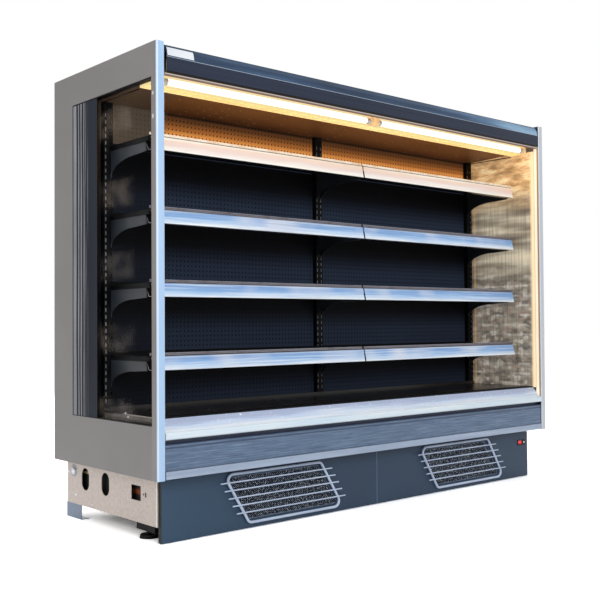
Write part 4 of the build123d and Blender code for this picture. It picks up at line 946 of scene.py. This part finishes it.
for side, centre in VENTS.items():
    verts, faces = [], []
    for row in MESH_ROWS:
        points = []
        for column in MESH_COLUMNS:
            zigzag = MESH_PITCH / 2 if (row + column) % 2 else -MESH_PITCH / 2
            x, z = leaning(centre, column * MESH_HALF_CELL, MESH_PITCH * row + zigzag)
            points.append((x, MESH_PLANE, z))
        add_bar(verts, faces, points, half_y=0.0006, half_z=0.0011)
    piece(f"vent_mesh_{side}", verts, faces, vent_metal, "guard_paint", f"kick_{side}")

    verts, faces = [], []
    for y in (LINING_FRONT, LINING_FRONT + LINING_DEPTH):
        for shrink in (0, LINING_THICKNESS):
            for along, up in outline:
                x, z = leaning(
                    centre, along * (1 - shrink / VENT_HALF), up * (1 - shrink / VENT_RISE),
                )
                verts.append((x, y, z))
    for step, following in neighbours:
        for a, b in ((0, 1), (1, 3), (3, 2), (2, 0)):
            a, b = a * count, b * count
            faces.append((a + step, a + following, b + following, b + step))
    piece(f"vent_lining_{side}", verts, faces, skid_paint, "guard_paint", f"kick_{side}")

    verts, faces = [], []
    for y in FILTER_FACES:
        for along, up in outline:
            x, z = leaning(centre, along, up)
            verts.append((x, y, z))
    faces.append(tuple(range(count)))
    faces.append(tuple(reversed(range(count, 2 * count))))
    for step, following in neighbours:
        faces.append((following, step, count + step, count + following))
    piece(f"vent_filter_{side}", verts, faces, mat_black, "black_plastic", f"kick_{side}")

# ------------------------------------------------------------------ trim at the ends

# Dark ribs, as the middle and half width of each along y, waving a little as they rise
RIBS = ((0.2130, 0.0062), (0.1890, 0.0048), (0.1640, 0.0062), (0.1430, 0.0040), (0.1270, 0.0068))
RIB_STEPS = 60
for side, sign in SIDES:
    side_boxes(
        f"window_ribs_light_{side}", sign,
        [((1.2874, COVER_BACK, WINDOW_LOW), (1.2878, 0.2520, WINDOW_HIGH))],
        rib_light, "dark_paint",
    )

    verts, faces = [], []
    for rib, (centre, half) in enumerate(RIBS):
        first = len(verts)
        for step in range(RIB_STEPS + 1):
            z = WINDOW_LOW + (WINDOW_HIGH - WINDOW_LOW) * step / RIB_STEPS
            sway = 0.0018 * math.sin(9.0 * z + rib) * math.sin(2.3 * z + 0.4 * rib)
            for x in (sign * 1.2878, sign * 1.2888):
                verts.extend([(x, centre + sway - half, z), (x, centre + sway + half, z)])
        for step in range(RIB_STEPS):
            a = first + 4 * step
            for b, c in ((0, 1), (1, 3), (3, 2), (2, 0)):
                faces.append((a + b, a + c, a + c + 4, a + b + 4))
        faces.append((first, first + 2, first + 3, first + 1))
        last = first + 4 * RIB_STEPS
        faces.append((last, last + 1, last + 3, last + 2))
    piece(f"window_ribs_dark_{side}", verts, faces, rib_dark, "dark_paint")

    side_boxes(
        f"window_cover_{side}", sign,
        [((1.2874, COVER_FRONT, WINDOW_LOW), (1.2878, COVER_BACK, WINDOW_HIGH))],
        cover_blue, "dark_paint",
    )
    side_boxes(
        f"window_gasket_{side}", sign,
        [((1.2889, -0.3958, 1.8386), (1.2896, 0.2528, 1.8428)),
         ((1.2889, -0.3958, 0.4752), (1.2896, 0.2528, 0.4778)),
         ((1.2889, 0.2502, 0.4778), (1.2896, 0.2528, 1.8386)),
         ((1.2889, -0.3958, 0.4778), (1.2896, -0.3940, 1.8386))],
        black_rubber, "black_plastic",
    )
    side_boxes(
        f"window_sill_{side}", sign, [((1.2503, -0.3940, 0.4760), (1.2528, COVER_FRONT, 0.5000))],
        sill_brown, "dark_paint",
    )
    # Black pieces in the gaps between the end posts and the fascia, painted shade
    side_boxes(
        f"canopy_gap_shade_{side}", sign,
        [((1.2406, -0.4180, 1.8660), (1.2494, -0.4080, 1.9700)),
         ((1.2340, -0.4160, 1.8720), (1.2450, -0.4100, 1.9480))],
        black_rubber, "black_plastic",
    )
    side_boxes(
        f"ceiling_seal_{side}", sign, [((1.2480, -0.2400, 1.8272), (1.2498, 0.0740, 1.8318))],
        black_rubber, "black_plastic",
    )
    # Black sheets inside the plinth, painted shade behind the side plates' openings
    side_boxes(
        f"plinth_shade_sheet_{side}", sign, [((1.1985, -0.3000, 0.1100), (1.2000, 0.3800, 0.2600))],
        plinth_shade_black, "black_plastic",
    )

# ------------------------------------------------------------------ clear parts of the shelves

# Corners of an end cap, as y and height against the shelf's top; only its rim is made
CAP_CORNERS = ((-0.2440, -0.0560), (-0.2200, -0.0160), (-0.2600, -0.0010), (-0.2815, -0.0560))
CAP_FACES = (1.2068, 1.2082)
CAP_HALF_RIM = 0.0007
for side, sign in SIDES:
    for level, top in enumerate(SHELF_TOPS, start=1):
        verts, faces = [], []
        for (y0, z0), (y1, z1) in zip(CAP_CORNERS, CAP_CORNERS[1:] + CAP_CORNERS[:1]):
            away = Vector((0, -(z1 - z0), y1 - y0)).normalized() * CAP_HALF_RIM
            add_block(verts, faces, [
                (x, y + shift.y, top + z + shift.z)
                for x in (sign * CAP_FACES[0], sign * CAP_FACES[1])
                for y, z in ((y0, z0), (y1, z1))
                for shift in (away, -away)
            ])
        looks = ("label_strip", f"display_shelf_{level}_{side}")
        piece(f"strip_cap_{level}_{side}", verts, faces, cap_edge, *looks)
        side_boxes(
            f"riser_{level}_{side}", sign,
            [((0.0055, -0.2632, top + 0.0036), (1.2165, -0.2622, top + 0.0138))],
            riser_plastic, *looks,
        )

# ------------------------------------------------------------------ small parts

# Pale metal strips behind the uprights' slots, a painted highlight for the glints on the lit slot
# edges
verts, faces = [], []
for x in (-1.239, -0.013, 0.013, 1.239):
    add_box(verts, faces, (x - 0.005, 0.0518, 0.40), (x + 0.005, 0.0524, 1.82))
piece("slot_glint_strips", verts, faces, slot_metal, "galvanised_steel")

# Blank badge, bent to the fascia
verts, faces = [], []
for lift in (0.0002, 0.0010):
    for y, z in ((-0.4299, 1.9300), (-0.4257, 1.9520), (-0.4196, 1.9640)):
        verts.extend([(-1.236, y - lift, z), (-1.110, y - lift, z)])
for low in (0, 2):
    faces.extend([(low + 1, low, low + 2, low + 3), (low + 6, low + 7, low + 9, low + 8)])
    faces.extend([(low, low + 6, low + 8, low + 2), (low + 7, low + 1, low + 3, low + 9)])
faces.extend([(0, 1, 7, 6), (5, 4, 10, 11)])
piece("badge_blank", verts, faces, plain_badge, "pale_bumper")

# Heads on the side plates and the outer panes: x, y, z, radius, height, then rings and sides
HEADS = (
    (PLATE_FACE, 0.411, 0.204, 0.0070, 0.0030),
    (PLATE_FACE + 0.0025, 0.363, 0.212, 0.0160, 0.0080),  # on the washer
    (PLATE_FACE + 0.0002, 0.343, 0.106, 0.0085, 0.0040, 2, 6),  # hexagonal
    (PLATE_FACE, -0.318, 0.080, 0.0040, 0.0022),
    (PLATE_FACE, 0.195, 0.081, 0.0040, 0.0022),
    (PLATE_FACE, -0.052, 0.240, 0.0040, 0.0022),
    (PLATE_FACE, 0.198, 0.2266, 0.0040, 0.0022),
    (PANE_FACE, -0.193, 0.515, 0.0040, 0.0020),
    (PANE_FACE, -0.212, 0.500, 0.0040, 0.0020),
)
WASHER = (PLATE_FACE + 0.0001, 0.363, 0.212, 0.0290, 0.0024, 2, 28)
for name, heads, material in (
    ("base_screws", HEADS, screw_metal), ("bolt_washers", (WASHER,), zinc_dull),
):
    verts, faces = [], []
    for _, sign in SIDES:
        for x, y, z, *form in heads:
            add_head(verts, faces, (sign * x, y, z), (sign, 0, 0), *form)
    piece(name, verts, faces, material, "galvanised_steel")

# ------------------------------------------------------------------ camera, floor and light

SENSOR_WIDTH = 36
FOCAL_LENGTH = 932.42 / 600  # of the photograph's width
YAW, PITCH, ROLL = 0.7176, 0.0238, -0.0064  # radians
CAMERA_PLACE = (-3.2404, -3.5081, 0.8771)

scene = bpy.context.scene
camera_data = bpy.data.cameras.new("camera")
camera_data.sensor_width = SENSOR_WIDTH
camera_data.lens = SENSOR_WIDTH * FOCAL_LENGTH
camera_data.clip_end = 200
camera = bpy.data.objects.new("camera", camera_data)
scene.collection.objects.link(camera)
ahead = Vector((
    math.sin(YAW) * math.cos(PITCH), math.cos(YAW) * math.cos(PITCH), math.sin(PITCH),
))
right = Vector((math.cos(YAW), -math.sin(YAW), 0))
up = right.cross(ahead)
right, up = (
    right * math.cos(ROLL) + up * math.sin(ROLL), up * math.cos(ROLL) - right * math.sin(ROLL),
)
facing = Matrix((right, up, -ahead)).transposed().to_4x4()
camera.matrix_world = Matrix.Translation(CAMERA_PLACE) @ facing
scene.camera = camera


def seen_directly(tree):
    """1 for what the camera sees, also mirrored or through glass; 0 for what lights the object."""
    rays = put(tree, "LightPath").outputs
    straight = either(tree, rays["Is Camera Ray"], rays["Is Glossy Ray"])
    return either(tree, straight, rays["Is Transmission Ray"])


floor_material, tree = start("floor")
tree.nodes.remove(tree.nodes["Principled BSDF"])
diffuse = put(tree, "BsdfDiffuse", [("Color", spread(tree, seen_directly(tree), 0.7, 2.1))])
tree.links.new(diffuse.outputs[0], tree.nodes["Material Output"].inputs["Surface"])
mesh = bpy.data.meshes.new("floor")
mesh.from_pydata([(-40, -40, 0), (40, -40, 0), (40, 40, 0), (-40, 40, 0)], [], [(0, 1, 2, 3)])
mesh.materials.append(floor_material)
floor = bpy.data.objects.new("floor", mesh)
scene.collection.objects.link(floor)

world = bpy.data.worlds.new("world")
scene.world = world
world.use_nodes = True
tree = world.node_tree
brightness = spread(tree, seen_directly(tree), 0.5, 1.0)
feed(tree, tree.nodes["Background"], [("Color", (1, 1, 1, 1)), ("Strength", brightness)])


def lamp(name, spot, aim, size, power):
    data = bpy.data.lights.new(name, "AREA")
    data.shape = "RECTANGLE"
    data.size, data.size_y = size
    data.energy = power
    obj = bpy.data.objects.new(name, data)
    obj.location = spot
    obj.rotation_euler = (Vector(aim) - Vector(spot)).to_track_quat("-Z", "Y").to_euler()
    scene.collection.objects.link(obj)


lamp("front_light", (-2.0, -6.0, 3.6), aim=(0, 0, 1.0), size=(4.0, 3.0), power=170)
lamp("left_light", (-6.0, -0.5, 2.6), aim=(-1.2, 0, 1.0), size=(3.0, 3.0), power=90)
lamp("back_light", (2.0, 6.0, 4.0), aim=(0, 0, 1.0), size=(4.0, 3.0), power=160)

scene.view_settings.view_transform = "Standard"
